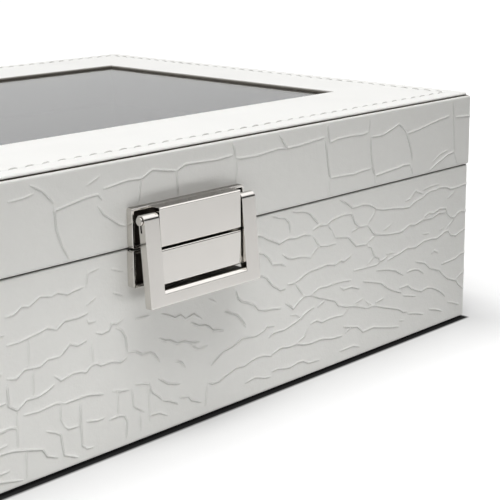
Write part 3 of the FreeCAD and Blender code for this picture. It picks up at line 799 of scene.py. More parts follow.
    (1.0, (89.3, 29.1), (93.0, 28.7), (95.9, 28.1), (99.9, 26.9), (101.8, 25.8), (104.3, 24.5)),
    (1.0, (82.2, 26.8), (84.2, 26.3), (88.6, 25.1), (92.0, 24.0), (94.0, 22.5), (96.9, 20.8), (99.4, 19.7),
     (103.3, 18.2)),
    (0.9, (70.0, 27.4), (71.7, 26.3), (75.8, 26.3), (80.0, 24.8)),
    (0.9, (106.6, 24.9), (108.0, 25.2), (110.6, 25.1), (113.1, 24.5), (116.0, 22.8)),
    (0.9, (111.6, 27.7), (116.5, 26.3), (120.0, 23.6), (125.8, 21.6), (127.8, 19.6), (130.9, 17.4), (136.1, 15.7),
     (138.0, 13.6), (141.0, 11.5)),
    (0.8, (127.2, 23.7), (131.0, 23.9), (135.6, 24.2), (138.6, 25.2), (145.0, 25.5)),
    (0.7, (120.8, 29.0), (122.2, 29.7), (124.9, 28.5)),
    (0.9, (102.3, 20.0), (106.7, 20.1), (109.2, 18.3), (113.1, 16.7), (115.1, 16.1), (118.5, 16.6), (121.4, 16.0),
     (124.4, 14.7), (126.3, 13.6), (129.8, 11.0)),
    (0.9, (104.5, 16.9), (111.6, 15.1)),
    (0.8, (89.1, 17.8), (93.2, 18.4)),
    (0.7, (83.2, 19.8), (85.2, 18.3), (87.6, 17.1)),
    (0.6, (77.8, 20.0), (81.7, 20.8)),
    (0.9, (71.9, 13.1), (75.8, 12.1), (79.0, 11.5), (80.7, 10.2), (82.0, 9.0), (84.2, 9.0), (87.6, 9.2), (92.5, 8.0),
     (97.4, 6.8), (102.1, 5.9)),
    (0.7, (72.9, 10.9), (75.8, 12.1)),
    (1.0, (107.5, 9.5), (112.1, 8.5), (116.5, 7.2)),
    (0.9, (120.2, 8.1), (123.9, 7.2), (127.8, 5.8)),
    (0.9, (131.5, 8.3), (134.2, 7.5), (138.6, 5.8)),
    (0.7, (102.6, 8.0), (104.8, 7.6)),
    (0.6, (70.0, 5.1), (76.8, 5.2), (80.3, 4.1)),
    (0.8, (136.3, 15.8), (138.6, 17.4), (145.0, 18.8)),
    (0.8, (92.8, 42.6), (96.9, 44.0)),
    (0.6, (115.5, 37.2), (119.0, 36.8)),
    (0.6, (125.5, 36.8), (128.0, 37.3)),
    (0.8, (84.6, 46.8), (86.5, 48.5), (88.5, 50.7)),
    (0.7, (130.0, 47.8), (133.7, 49.5), (135.0, 50.8)),
)


@dataclass
class RidgePattern:
    """Raised lines round pressed scales, as a height over the flat sheet.

    The sheet's place s runs along the strip and z up it, in millimetres. The front
    has the drawn lines, and the rest has rows of broken lines in the same manner.
    """

    seed: int
    drawn: Sequence[Sequence]
    row_heights: tuple[float, ...]
    pitch: float
    knot: float
    sway: float
    shake: float
    lean: float
    rise: float = 0.15
    width: float = 0.42
    far: float = 2.2
    run_out: float = 1.6
    drawn_range: tuple[float, float] = (-64.0, 146.0)
    reach: float = 500.0

    @cached_property
    def lines(self) -> list[tuple[float, np.ndarray]]:
        """Every line of the sheet as its strength and its points."""
        draw = np.random.default_rng(self.seed)
        found = [(line[0], np.array(line[1:])) for line in self.drawn]
        low, high = self.drawn_range
        for begin, end in ((-self.reach, low), (high, self.reach)):
            found += self.rows_between(begin, end, draw)
        return found

    def rows_between(self, begin: float, end: float, draw: np.random.Generator) -> list[tuple[float, np.ndarray]]:
        """Broken rows and the lines across them on one stretch of the sheet.

        Args:
            begin: Where the stretch starts.
            end: Where it ends.
            draw: The source of the random draws.

        Returns:
            Lines as strengths and points.
        """
        found, rows = [], []
        for height in self.row_heights:
            s = np.arange(begin, end, self.knot) + draw.uniform(-0.3, 0.3) * self.knot
            swing = np.cumsum(draw.normal(0.0, 1.0, len(s)))
            swing = np.convolve(swing - np.convolve(swing, np.ones(9) / 9, "same"), np.ones(2) / 2, "same")
            z = height + self.sway * np.clip(swing, -2.0, 2.0) + draw.uniform(-self.shake, self.shake, len(s))
            rows.append((s, z))
            index = 0
            while index < len(s) - 3:
                count = int(draw.integers(5, 15))
                found.append((draw.uniform(0.65, 1.0), np.stack([s[index:index + count], z[index:index + count]], -1)))
                index += count - 1 + int(draw.integers(0, 2))
        for (low_s, low_z), (high_s, high_z) in zip(rows, rows[1:]):
            place = begin + draw.uniform(0.2, 1.0) * self.pitch
            while place < end - self.lean:
                top = place + draw.uniform(-self.lean, self.lean)
                start = (place, np.interp(place, low_s, low_z))
                finish = (top, np.interp(top, high_s, high_z))
                middle = ((place + top) / 2 + draw.uniform(-0.2, 0.2) * self.lean, (start[1] + finish[1]) / 2)
                found.append((draw.uniform(0.35, 0.95), np.array((start, middle, finish))))
                place += self.pitch * draw.uniform(0.7, 1.4)
        return found

    def relief(self, s: np.ndarray, z: np.ndarray) -> tuple[np.ndarray, np.ndarray, np.ndarray]:
        """The relief on a grid of the sheet.

        The way to the nearest line has a third value that grows away from the line, so
        that it never passes through zero halfway between two lines.

        Args:
            s: The place of each column along the strip.
            z: The place of each row up the strip.

        Returns:
            Heights in millimetres, the ways to the nearest lines and their strengths, all
            as rows by columns.
        """
        height = np.zeros((len(z), len(s)))
        way = np.zeros((len(z), len(s), 3))
        way[..., 2] = self.far
        reach = np.full_like(height, self.far)
        strength = np.zeros_like(height)
        for force, points in self.lines:
            if points[:, 0].max() < s.min() - self.far or points[:, 0].min() > s.max() + self.far:
                continue
            steps = np.linalg.norm(np.diff(points, axis=0), axis=1)
            done = np.concatenate([[0.0], np.cumsum(steps)])
            for start, end, before, step in zip(points[:-1], points[1:], done, steps):
                low = np.minimum(start, end) - self.far
                high = np.maximum(start, end) + self.far
                columns = np.nonzero((s > low[0]) & (s < high[0]))[0]
                rows = np.nonzero((z > low[1]) & (z < high[1]))[0]
                if not len(columns) or not len(rows):
                    continue
                patch = np.ix_(rows, columns)
                heading = (end - start) / max(step, 1e-6)
                across = s[columns][None, :] - start[0]
                upwards = z[rows][:, None] - start[1]
                share = np.clip(across * heading[0] + upwards * heading[1], 0.0, step)
                aside = np.stack([across - share * heading[0], upwards - share * heading[1]], -1)
                away = np.hypot(aside[..., 0], aside[..., 1])
                ends = np.minimum(before + share, done[-1] - before - share)
                local = force * (0.4 + 0.6 * smooth_step(ends / self.run_out))
                height[patch] = np.maximum(height[patch], self.rise * local * np.exp(-(away / self.width) ** 2))
                nearer = away < reach[patch]
                beyond = 1.5 * np.maximum(away - 0.3, 0.0)
                found = np.concatenate([aside, beyond[..., None]], -1)
                way[patch] = np.where(nearer[..., None], found, way[patch])
                strength[patch] = np.where(nearer, local, strength[patch])
                reach[patch] = np.where(nearer, away, reach[patch])
        return height, way, strength


@dataclass
class EmbossedStrip:
    """A leatherette strip glued round one half of the box, in a piece per wall."""

    name: str
    body: str
    node: str
    pattern: RidgePattern
    profile: list[tuple[float, float]]
    corners: tuple[int, ...]
    behind: list[tuple[float, float]]
    face: tuple[float, float]
    steps: dict[Side, float]
    corner: float = 2.5
    overlap: float = 8.0
    seam: float = 0.16
    open_above: float = 80.0

    def columns(self, side: Side, step: float) -> tuple[np.ndarray, np.ndarray, np.ndarray, list[int]]:
        """The upright lines of one wall's piece.

        Args:
            side: The wall.
            step: The distance between the lines.

        Returns:
            Places on the rectangle inset by the corner radius, outward directions, places
            along the strip, and the numbers of the lines where the shape changes.
        """
        plan = plan_of(self.node)
        core = plan.inset(self.corner)
        width = core.right - core.left
        depth = core.back - core.front
        arc = self.corner * math.pi / 2
        tail = self.overlap - self.corner
        half = width / 2
        runs = {
            Side.FRONT: [("left", depth - tail, depth), ("front_left",), ("front", 0, width),
                         ("front_right",), ("right", 0, tail)],
            Side.RIGHT: [("right", tail, depth - tail)],
            Side.BACK_RIGHT: [("right", depth - tail, depth), ("back_right",), ("back", 0, half)],
            Side.BACK_LEFT: [("back", half, width), ("back_left",), ("left", 0, tail)],
            Side.LEFT: [("left", tail, depth - tail)],
        }[side]
        starts = {
            "front": -half, "front_right": half, "right": half + arc,
            "back_right": half + arc + depth, "back": half + 2 * arc + depth,
            "back_left": -(half + 2 * arc + depth), "left": -(half + arc + depth), "front_left": -half - arc,
        }
        shift = {Side.BACK_LEFT: -(2 * width + 2 * depth + 4 * arc)}.get(side, 0.0)
        walls = {
            "front": ((core.left, core.front), (1, 0), (0, -1)),
            "right": ((core.right, core.front), (0, 1), (1, 0)),
            "back": ((core.right, core.back), (-1, 0), (0, 1)),
            "left": ((core.left, core.back), (0, -1), (-1, 0)),
        }
        turns = {
            "front_left": ((core.left, core.front), 180.0), "front_right": ((core.right, core.front), 270.0),
            "back_right": ((core.right, core.back), 0.0), "back_left": ((core.left, core.back), 90.0),
        }
        places, outward, along, marks = [], [], [], [0]
        for run in runs:
            if len(run) == 3:
                name, begin, end = run
                origin, direction, normal = (np.array(item, float) for item in walls[name])
                count = max(2, round((end - begin) / step))
                way = np.linspace(begin, end, count + 1)
                if places:
                    way = way[1:]
                places += [origin + direction * value for value in way]
                outward += [normal] * len(way)
                offset = shift if name == "back" else 0.0
                along += (starts[name] + offset + way).tolist()
            else:
                name = run[0]
                centre, begin_angle = turns[name]
                for part in range(1, 10):
                    angle = math.radians(begin_angle + 10.0 * part)
                    places.append(np.array(centre, float))
                    outward.append(np.array((math.cos(angle), math.sin(angle))))
                    along.append(starts[name] + arc * part / 9)
                    if part % 3 == 0 and part < 9:
                        marks.append(len(places) - 1)
            marks.append(len(places) - 1)
        return np.array(places), np.array(outward), np.array(along), marks

    def spread(self, places: np.ndarray, outward: np.ndarray, depth: np.ndarray, z: np.ndarray,
               proud: np.ndarray | float = 0.0) -> np.ndarray:
        """Points for every row of a profile on every column.

        Args:
            places: Places on the rectangle inset by the corner radius.
            outward: The outward direction at each.
            depth: How far in each row lies.
            z: How high each row lies.
            proud: The relief, as rows by columns.

        Returns:
            Rows by columns by 3.
        """
        plan = plan_of(self.node)
        grid = np.empty((len(depth), len(places), 3))
        for row, inset in enumerate(depth):
            flat = plan.inset(max(inset, self.corner)).clamp(places)
            lift = max(self.corner - inset, 0.0)
            extra = proud[row] if isinstance(proud, np.ndarray) else np.full(len(places), proud)
            grid[row, :, :2] = flat + outward * (lift + extra)[:, None]
            grid[row, :, 2] = z[row]
        return grid

    def build(self) -> list[bpy.types.Object]:
        """Makes the piece on each wall.

        Returns:
            The finished pieces.
        """
        return [self.wall(side, step) for side, step in self.steps.items()]

    def rows(self, step: float) -> tuple[np.ndarray, np.ndarray, list[int]]:
        """The profile with its upright face divided.

        Args:
            step: The distance between rows on the face.

        Returns:
            Depths, heights and the numbers of the rows at the profile's corners.
        """
        low, high = self.face
        count = round((high - low) / step)
        depth, height, marks = [], [], []
        for index, (inset, z) in enumerate(self.profile):
            if index in self.corners:
                marks.append(len(depth))
            depth.append(inset)
            height.append(z)
            if abs(z - low) < 1e-6 and inset == 0.0:
                for value in np.linspace(low, high, count + 1)[1:-1]:
                    depth.append(0.0)
                    height.append(value)
        return np.array(depth), np.array(height), marks

    def shade(self, depth: np.ndarray, z: np.ndarray) -> np.ndarray:
        """How much painted shade each row gets where it lies turned into a seam or under the foot."""
        return smooth_step((depth - 0.34) / 0.3) * (z < self.open_above)

    def wall(self, side: Side, step: float) -> bpy.types.Object:
        """Makes the piece on one wall.

        Args:
            side: The wall.
            step: The distance between its grid lines.

        Returns:
            The finished piece.
        """
        places, outward, along, column_marks = self.columns(side, step)
        depth, z, row_marks = self.rows(step)
        low, high = self.face
        flat_s, flat_z = np.meshgrid(along, z)
        fade = smooth_step((flat_z - low) / 0.7) * smooth_step((high - flat_z) / 0.7)
        fade *= (depth == 0.0)[:, None]
        relief, way, force = self.pattern.relief(along, z)
        relief, force = relief * fade, force * fade
        end = abs(along).max()
        if side in (Side.BACK_LEFT, Side.BACK_RIGHT):
            relief -= self.seam * np.exp(-((end - abs(flat_s)) / 0.3) ** 2) * fade
        outer = self.spread(places, outward, depth, z, relief)
        back = np.array(self.behind)
        inner = self.spread(places[column_marks], outward[column_marks], back[:, 0], back[:, 1])
        points, faces = closed_shell(outer, inner, row_marks, column_marks)
        thing = as_object(f"{self.name}_{side.value}", points, faces)
        spare = len(points) - relief.size
        # Painted shade weights: seam and foot rows darken, and the hidden back points are fully dark.
        seam_shade = np.broadcast_to(self.shade(depth, z)[:, None], relief.shape)
        store(thing, "line_force", np.append(force.ravel(), np.zeros(spare)))
        store(thing, "seam_shade", np.append(seam_shade.ravel(), np.ones(spare)))
        store_way(thing, "line_way", np.concatenate([way.reshape(-1, 3), np.full((spare, 3), self.pattern.far)]))
        with editing(thing):
            bpy.ops.mesh.remove_doubles(threshold=0.0005 * MM)
        activate(thing)
        bpy.ops.object.shade_smooth_by_angle(angle=math.radians(60.0))
        return settle(thing, self.body, EMBOSSED.material(), [self.node])


def base_strip() -> EmbossedStrip:
    """The strip round the base, turned in under the floor and over the rim."""
    foot = [(1.1 * (1 - math.sin(a)), 0.8 + 1.1 * (1 - math.cos(a))) for a in np.radians(np.arange(0, 90.1, 18))]
    rim = [(0.7 * (1 - math.cos(a)), 57.8 + 0.7 * math.sin(a)) for a in np.radians(np.arange(0, 90.1, 18))]
    foot[-1] = (0.0, 1.9)
    rim[0] = (0.0, 57.8)
    profile = [(6.0, 0.8), (2.5, 0.8)] + foot + rim + [(2.5, 58.5), (7.2, 58.5)]
    return EmbossedStrip(
        name="base_skin", body="base", node="base_skin",
        pattern=RidgePattern(
            seed=11, drawn=BASE_LINES, row_heights=(-3.0, 4.5, 11.8, 19.4, 27.0, 34.2, 42.0, 50.6, 60.0),
            pitch=14.0, knot=3.2, sway=0.9, shake=0.5, lean=4.5),
        profile=profile, corners=(0, 4, 10, len(profile) - 1),
        behind=[(6.0, 1.6), (0.8, 1.6), (0.8, 57.7), (7.2, 57.7)],
        face=(1.9, 57.8),
        steps={Side.FRONT: 0.46, Side.RIGHT: 0.6, Side.BACK_RIGHT: 0.6, Side.BACK_LEFT: 0.6, Side.LEFT: 0.6},
    )


def lid_strip() -> EmbossedStrip:
    """The strip round the lid, turned in under its lower edge."""
    hem = [(0.7 * (1 - math.sin(a)), 58.8 + 0.7 * (1 - math.cos(a))) for a in np.radians(np.arange(0, 90.1, 18))]
    top = [(0.7 * (1 - math.cos(a)), 83.1 + 0.7 * math.sin(a)) for a in np.radians(np.arange(0, 90.1, 18))]
    hem[-1] = (0.0, 59.5)
    top[0] = (0.0, 83.1)
    profile = [(7.2, 58.8), (2.5, 58.8)] + hem + top
    return EmbossedStrip(
        name="lid_skin", body="lid", node="lid_skin",
        pattern=RidgePattern(
            seed=5, drawn=LID_LINES, row_heights=(57.0, 64.6, 77.8, 86.0), pitch=23.0, knot=5.5, sway=0.5,
            shake=0.3, lean=2.5),
        profile=profile, corners=(0, 4, len(profile) - 1),
        behind=[(7.2, 59.6), (0.8, 59.6), (0.8, 83.8)],
        face=(59.5, 83.1),
        steps={Side.FRONT: 0.42, Side.RIGHT: 0.6, Side.BACK_RIGHT: 0.6, Side.BACK_LEFT: 0.6, Side.LEFT: 0.6},
    )


# Top cover


@dataclass
class TopCover:
    """The smooth sheet round the window, with its line of stitches."""

    corner: float = 3.0
    setback: float = 0.6
    edge: float = 0.6
    window_edge: float = 0.95
    line: float = 6.9
    pitch: float = 5.3
    stitch_length: float = 3.7
    stitch_width: float = 0.62
    stitch_lift: float = -0.06
    groove: float = 0.3
    pucker: float = 0.12
    step: float = 0.66
    outer: Plan = field(default_factory=lambda: plan_of("lid_top_cover"))
    window: Plan = Plan(-111.4, 111.4, -60.4, 64.0)

    def columns(self) -> tuple[np.ndarray, np.ndarray]:
        """The lines that run inwards, round the whole sheet.

        Returns:
            Places on the rectangle inset by the corner radius, and outward directions.
        """
        core = self.outer.inset(self.corner)
        walls = [
            ((core.left, core.front), (core.right, core.front), (0, -1), 270.0),
            ((core.right, core.front), (core.right, core.back), (1, 0), 0.0),
            ((core.right, core.back), (core.left, core.back), (0, 1), 90.0),
            ((core.left, core.back), (core.left, core.front), (-1, 0), 180.0),
        ]
        places, outward = [], []
        for start, end, normal, angle in walls:
            begin, finish = np.array(start), np.array(end)
            count = round(np.linalg.norm(finish - begin) / self.step)
            for part in np.linspace(0.0, 1.0, count + 1):
                places.append(begin + (finish - begin) * part)
                outward.append(normal)
            for turn in range(1, 9):
                heading = math.radians(angle + 10.0 * turn)
                places.append(finish)
                outward.append((math.cos(heading), math.sin(heading)))
        return np.array(places), np.array(outward, float)

    def stitch_sides(self) -> list[tuple[np.ndarray, np.ndarray, int]]:
        """The start, the end and the count of stitches of each side of the line."""
        plan = self.outer.inset(self.line)
        corners = [np.array(item) for item in (
            (plan.left, plan.front), (plan.right, plan.front), (plan.right, plan.back), (plan.left, plan.back))]
        sides = []
        for start, end in zip(corners, corners[1:] + corners[:1]):
            sides.append((start, end, round(np.linalg.norm(end - start) / self.pitch)))
        return sides

    def relief(self, x: np.ndarray, y: np.ndarray) -> np.ndarray:
        """The height of the sewn line's puckers.

        Args:
            x: Places on the sheet.
            y: Places on the sheet.

        Returns:
            Heights in millimetres.
        """
        total = 0.05 * waves(x, y, 34.0, 71)
        for start, end, count in self.stitch_sides():
            along = (end - start) / np.linalg.norm(end - start)
            length = np.linalg.norm(end - start)
            way = (x - start[0]) * along[0] + (y - start[1]) * along[1]
            away = np.abs((x - start[0]) * along[1] - (y - start[1]) * along[0])
            inside = smooth_step((way + 0.5) / 1.0) * smooth_step((length + 0.5 - way) / 1.0)
            phase = way / length * count
            middle = np.cos(2 * math.pi * (phase - 0.5))
            dip = np.exp(-(away / 0.75) ** 2) * (0.75 - 0.25 * middle)
            swell = np.exp(-((away - 1.3) / 0.9) ** 2) * (0.55 + 0.45 * middle)
            total += inside * (self.pucker * swell - self.groove * dip)
        return total

    def build(self) -> list[bpy.types.Object]:
        """Makes the sheet and its stitches.

        Returns:
            The finished pieces.
        """
        return [self.sheet(), self.stitches()]

    def sheet(self) -> bpy.types.Object:
        """Makes the sheet with its rounded edges.

        Returns:
            The finished piece.
        """
        low, high = (corner.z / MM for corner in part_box("lid_top_cover"))
        places, outward = self.columns()
        rings = []
        for inset, z in ((1.1, low), (0.2, low + 0.3), (0.05, low + 0.42), (0.0, low + 0.6)):
            rings.append((self.outer.inset(self.corner), self.corner - self.setback - inset, z, 0.0))
        for angle in np.radians((18, 36, 54, 72, 90)):
            inset = self.setback + self.edge * (1 - math.cos(angle))
            z = high - self.edge * (1 - math.sin(angle))
            rings.append((self.outer.inset(self.corner), self.corner - inset, z, 0.0))
        rings.append((self.outer.inset(self.corner), self.corner - 2.1, high, 1.0))
        for inset in (3.4, 4.2, 4.8, 5.3, 5.7, 6.0, 6.3, 6.6, 6.9, 7.2, 7.5, 7.8, 8.1, 8.5, 9.0, 9.6, 10.6, 12.5):
            rings.append((self.outer.inset(inset), 0.0, high, 1.0))
        for grow in (14.0, 7.0, 3.0, 1.4):
            rings.append((self.window.inset(-grow), 0.0, high, 1.0 if grow > 2.0 else 0.0))
        for angle in np.radians((90, 72, 54, 36, 18, 0)):
            grow = self.window_edge * (1 - math.cos(angle))
            z = high - self.window_edge * (1 - math.sin(angle))
            rings.append((self.window.inset(-grow), 0.0, z, 0.0))
        rings.append((self.window, 0.0, low, 0.0))
        grid = np.empty((len(rings), len(places), 3))
        values = np.zeros(grid.shape[:2])
        for row, (plan, lift, z, soft) in enumerate(rings):
            grid[row, :, :2] = plan.clamp(places) + outward * lift
            height = soft * self.relief(grid[row, :, 0], grid[row, :, 1])
            values[row] = height / self.groove
            grid[row, :, 2] = z + height
        rows, columns = values.shape
        number = np.arange(rows * columns).reshape(rows, columns)
        beside = np.roll(number, -1, axis=1)
        above = np.roll(number, -1, axis=0)
        corner = np.roll(beside, -1, axis=0)
        faces = np.stack([number, beside, corner, above], -1).reshape(-1, 4).tolist()
        thing = as_object("top_cover", grid.reshape(-1, 3), faces)
        store(thing, "relief", values.ravel())
        with editing(thing):
            bpy.ops.mesh.remove_doubles(threshold=0.0005 * MM)
        activate(thing)
        bpy.ops.object.shade_smooth_by_angle(angle=math.radians(50.0))
        settle(thing, "lid", SMOOTH.material(), ["lid_top_cover"])
        self.dress_window_edge(thing, high)
        return thing

    def dress_window_edge(self, sheet: bpy.types.Object, high: float) -> None:
        """Gives the edge that is turned down round the window its own material.

        Args:
            sheet: The finished sheet.
            high: The height of its upper face.
        """
        middles = np.empty((len(sheet.data.polygons), 3))
        sheet.data.polygons.foreach_get("center", middles.ravel())
        middles /= MM
        rim = self.window.inset(-0.5 * self.window_edge)
        beside = np.abs(rim.clamp(middles[:, :2]) - middles[:, :2]).max(-1) < 1e-6
        chosen = beside & (middles[:, 2] < high - 0.05 * self.window_edge)
        sheet.data.materials.append(TURNED_EDGE.material())
        sheet.data.polygons.foreach_set("material_index", chosen.astype(np.int32))

    def one_stitch(self) -> bpy.types.Object:
        """One stitch along X at the origin, its ends drawn down into the sheet.

        Returns:
            The stitch, in millimetres turned to metres.
        """
        deselect()
        bpy.ops.mesh.primitive_cylinder_add(
            vertices=8, radius=self.stitch_width / 2 * MM, depth=self.stitch_length * MM,
            end_fill_type="TRIFAN", rotation=(0.0, math.pi / 2, 0.0))
        stitch = bpy.context.object
        bpy.ops.object.transform_apply(location=True, rotation=True, scale=True)
        half = self.stitch_length / 2 * MM
        with editing(stitch):
            for share in (-0.75, -0.35, 0.35, 0.75):
                bpy.ops.mesh.select_all(action="SELECT")
                bpy.ops.mesh.bisect(plane_co=(share * half, 0.0, 0.0), plane_no=(1.0, 0.0, 0.0))
        for vertex in stitch.data.vertices:
            share = abs(vertex.co.x) / half
            pinch = math.sqrt(max(1.0 - share ** 4, 0.0)) * 0.85 + 0.15
            vertex.co.y *= pinch
            vertex.co.z = vertex.co.z * pinch - 0.5 * MM * share ** 4
        return stitch

    def stitches(self) -> bpy.types.Object:
        """Makes every stitch of the line as one piece.

        Returns:
            The finished piece.
        """
        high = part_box("lid_top_cover")[1].z / MM
        pattern = self.one_stitch()
        shape = np.array([vertex.co[:] for vertex in pattern.data.vertices]) / MM
        loops = [list(face.vertices) for face in pattern.data.polygons]
        bpy.data.objects.remove(pattern)
        draw = np.random.default_rng(23)
        points, faces = [], []
        for start, end, count in self.stitch_sides():
            heading = math.atan2(end[1] - start[1], end[0] - start[0])
            for index in range(count):
                middle = start + (end - start) * (index + 0.5) / count
                turn = heading + math.radians(5.0 + draw.uniform(-1.5, 1.5))
                cos, sin = math.cos(turn), math.sin(turn)
                size = draw.uniform(0.95, 1.04)
                placed = np.empty_like(shape)
                placed[:, 0] = middle[0] + size * (shape[:, 0] * cos - shape[:, 1] * sin)
                placed[:, 1] = middle[1] + size * (shape[:, 0] * sin + shape[:, 1] * cos)
                placed[:, 2] = high + self.stitch_lift + shape[:, 2]
                offset = len(points) * len(shape)
                points.append(placed)
                faces += [[offset + corner for corner in face] for face in loops]
        thing = as_object("cover_stitches", np.concatenate(points), faces)
        activate(thing)
        bpy.ops.object.shade_smooth_by_angle(angle=math.radians(60.0))
        return settle(thing, "lid", STITCH.material())


# Clasp and hinges


@dataclass
class Clasp:
    """Trays, polished blocks, pin and bail with its catch lip."""

    tray_edge: float = 0.2
    block_edge: float = 0.2
    bail_edge: float = 0.34
    pin_edge: float = 0.12
    tray_wall: float = 0.8
    lip_reach: float = 5.25
    lip_thickness: float = 0.6
    lip_drop: float = 0.05
    lip_inset: float = 5.45
    bar_chamfer: float = 0.8

    def build(self) -> list[bpy.types.Object]:
        """Makes the clasp's pieces.

        Returns:
            The finished pieces.
        """
        parts = (
            ("clasp_upper_tray", "lid", self.tray_edge),
            ("clasp_lower_tray", "base", self.tray_edge),
            ("clasp_upper_block", "lid", self.block_edge),
            ("clasp_lower_block", "base", self.block_edge),
            ("clasp_pivot_pin", "lid", self.pin_edge),
            ("clasp_bail", "bail", self.bail_edge),
        )
        made = []
        for node, body, radius in parts:
            prepare = self.chamfer_bar if node == "clasp_bail" else None
            piece = softened(node, f"polished_{node}", radius, prepare=prepare)
            made.append(settle(piece, body, NICKEL.material(), [node]))
            if "pin" not in node:
                self.dress_flanks(piece, node)
        made.append(self.catch_lip())
        return made

    def dress_flanks(self, piece: bpy.types.Object, node: str) -> None:
        """Gives upward faces brushed nickel with a painted dark reflection, and the inside of a tray near-black metal
        as painted shade.

        Args:
            piece: The finished piece.
            node: The CAD node that it stands for.
        """
        low, high = (np.array(corner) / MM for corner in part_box(node))
        count = len(piece.data.polygons)
        middles = np.empty((count, 3))
        normals = np.empty((count, 3))
        piece.data.polygons.foreach_get("center", middles.ravel())
        piece.data.polygons.foreach_get("normal", normals.ravel())
        middles /= MM
        chosen = np.zeros(count, np.int32)
        # Upward faces of the upper parts get the darker brushed nickel: a painted dark reflection.
        if "upper" in node:
            chosen[(normals[:, 2] > 0.95) & (middles[:, 2] > high[2] - 0.1)] = 1
        # A tray's inside gets near-black metal: painted shade.
        if "tray" in node:
            wall = 0.7 * self.tray_wall
            inside = (np.abs(middles[:, 0]) < high[0] - wall) & (middles[:, 1] > low[1] + 0.25)
            inside &= (middles[:, 2] > low[2] + wall) & (middles[:, 2] < high[2] - wall)
            chosen[inside] = 2
        for finish in (BRUSHED_SHADED_NICKEL, SHADED_STAMPING):
            piece.data.materials.append(finish.material())
        piece.data.polygons.foreach_set("material_index", chosen)

    def chamfer_bar(self, bail: bpy.types.Object) -> None:
        """Cuts a wide chamfer along the upper front edge of the bail's bar.

        Args:
            bail: The copy of the bail, with its edges still sharp.
        """
        top = self.bar_top()
        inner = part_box("clasp_lower_block")[1].x / MM + 1.0

        def upper_corners() -> tuple[np.ndarray, np.ndarray]:
            """The bail's points and which of them lie on the bar's upper face."""
            points = np.array([vertex.co for vertex in bail.data.vertices]) / MM
            return points, (np.abs(points[:, 2] - top) < 0.4) & (np.abs(points[:, 0]) < inner)

        points, level = upper_corners()
        reach = np.abs(points[level, 0]).max() * MM
        with editing(bail):
            for side in (-reach, reach):
                bpy.ops.mesh.select_all(action="SELECT")
                bpy.ops.mesh.bisect(plane_co=(side, 0.0, 0.0), plane_no=(1.0, 0.0, 0.0))
            bpy.ops.mesh.select_all(action="DESELECT")
        points, level = upper_corners()
        chosen = level & (points[:, 1] < points[level, 1].min() + 0.05)
        for vertex, select in zip(bail.data.vertices, chosen):
            vertex.select = bool(select)
        for edge in bail.data.edges:
            edge.select = bool(chosen[list(edge.vertices)].all())
        bpy.ops.object.mode_set(mode="EDIT")
        bpy.ops.mesh.bevel(offset=self.bar_chamfer * MM, segments=1, affect="EDGES")
        bpy.ops.object.mode_set(mode="OBJECT")

    def catch_lip(self) -> bpy.types.Object:
        """The ledge behind the bail's bar that lies under the lower block when shut.

        Returns:
            The finished piece.
        """
        low, high = (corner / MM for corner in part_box("clasp_bail"))
        block_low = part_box("clasp_lower_block")[0] / MM
        top = self.bar_top() - self.lip_drop
        front = block_low.y - 0.35
        deselect()
        bpy.ops.mesh.primitive_cube_add(size=1.0, location=(
            0.0, (front + self.lip_reach / 2) * MM, (top - self.lip_thickness / 2) * MM))
        lip = bpy.context.object
        lip.name = "polished_catch_lip"
        lip.data.name = lip.name
        lip.scale = ((high.x - low.x - 2 * self.lip_inset) * MM, self.lip_reach * MM, self.lip_thickness * MM)
        bpy.ops.object.transform_apply(location=True, rotation=True, scale=True)
        with editing(lip):
            bpy.ops.mesh.bisect(plane_co=(0.0, (front + self.lip_reach - 1.1) * MM, 0.0), plane_no=(0.0, 1.0, 0.0))
        back = (front + self.lip_reach - 0.01) * MM
        for vertex in lip.data.vertices:
            if vertex.co.y > back:
                vertex.co.z -= 0.25 * MM if vertex.co.z > (top - self.lip_thickness / 2) * MM else 0.0
        apply_modifier(lip, "BEVEL", width=0.15 * MM, segments=3, limit_method="ANGLE", angle_limit=math.radians(40.0))
        activate(lip)
        bpy.ops.object.shade_smooth_by_angle(angle=math.radians(35.0))
        # The near-black finish is painted shade in the gap under the lower block.
        return settle(lip, "bail", SHADED_STAMPING.material())

    @staticmethod
    def bar_top() -> float:
        """How high the upper face of the bail's bar lies, in millimetres."""
        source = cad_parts["clasp_bail"]
        points = np.array([source.matrix_world @ vertex.co for vertex in source.data.vertices]) / MM
        block_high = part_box("clasp_lower_block")[0].z / MM
        middle = (np.abs(points[:, 0]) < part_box("clasp_lower_block")[1].x / MM + 1.0) & (points[:, 2] < block_high)
        return float(points[middle, 2].max())


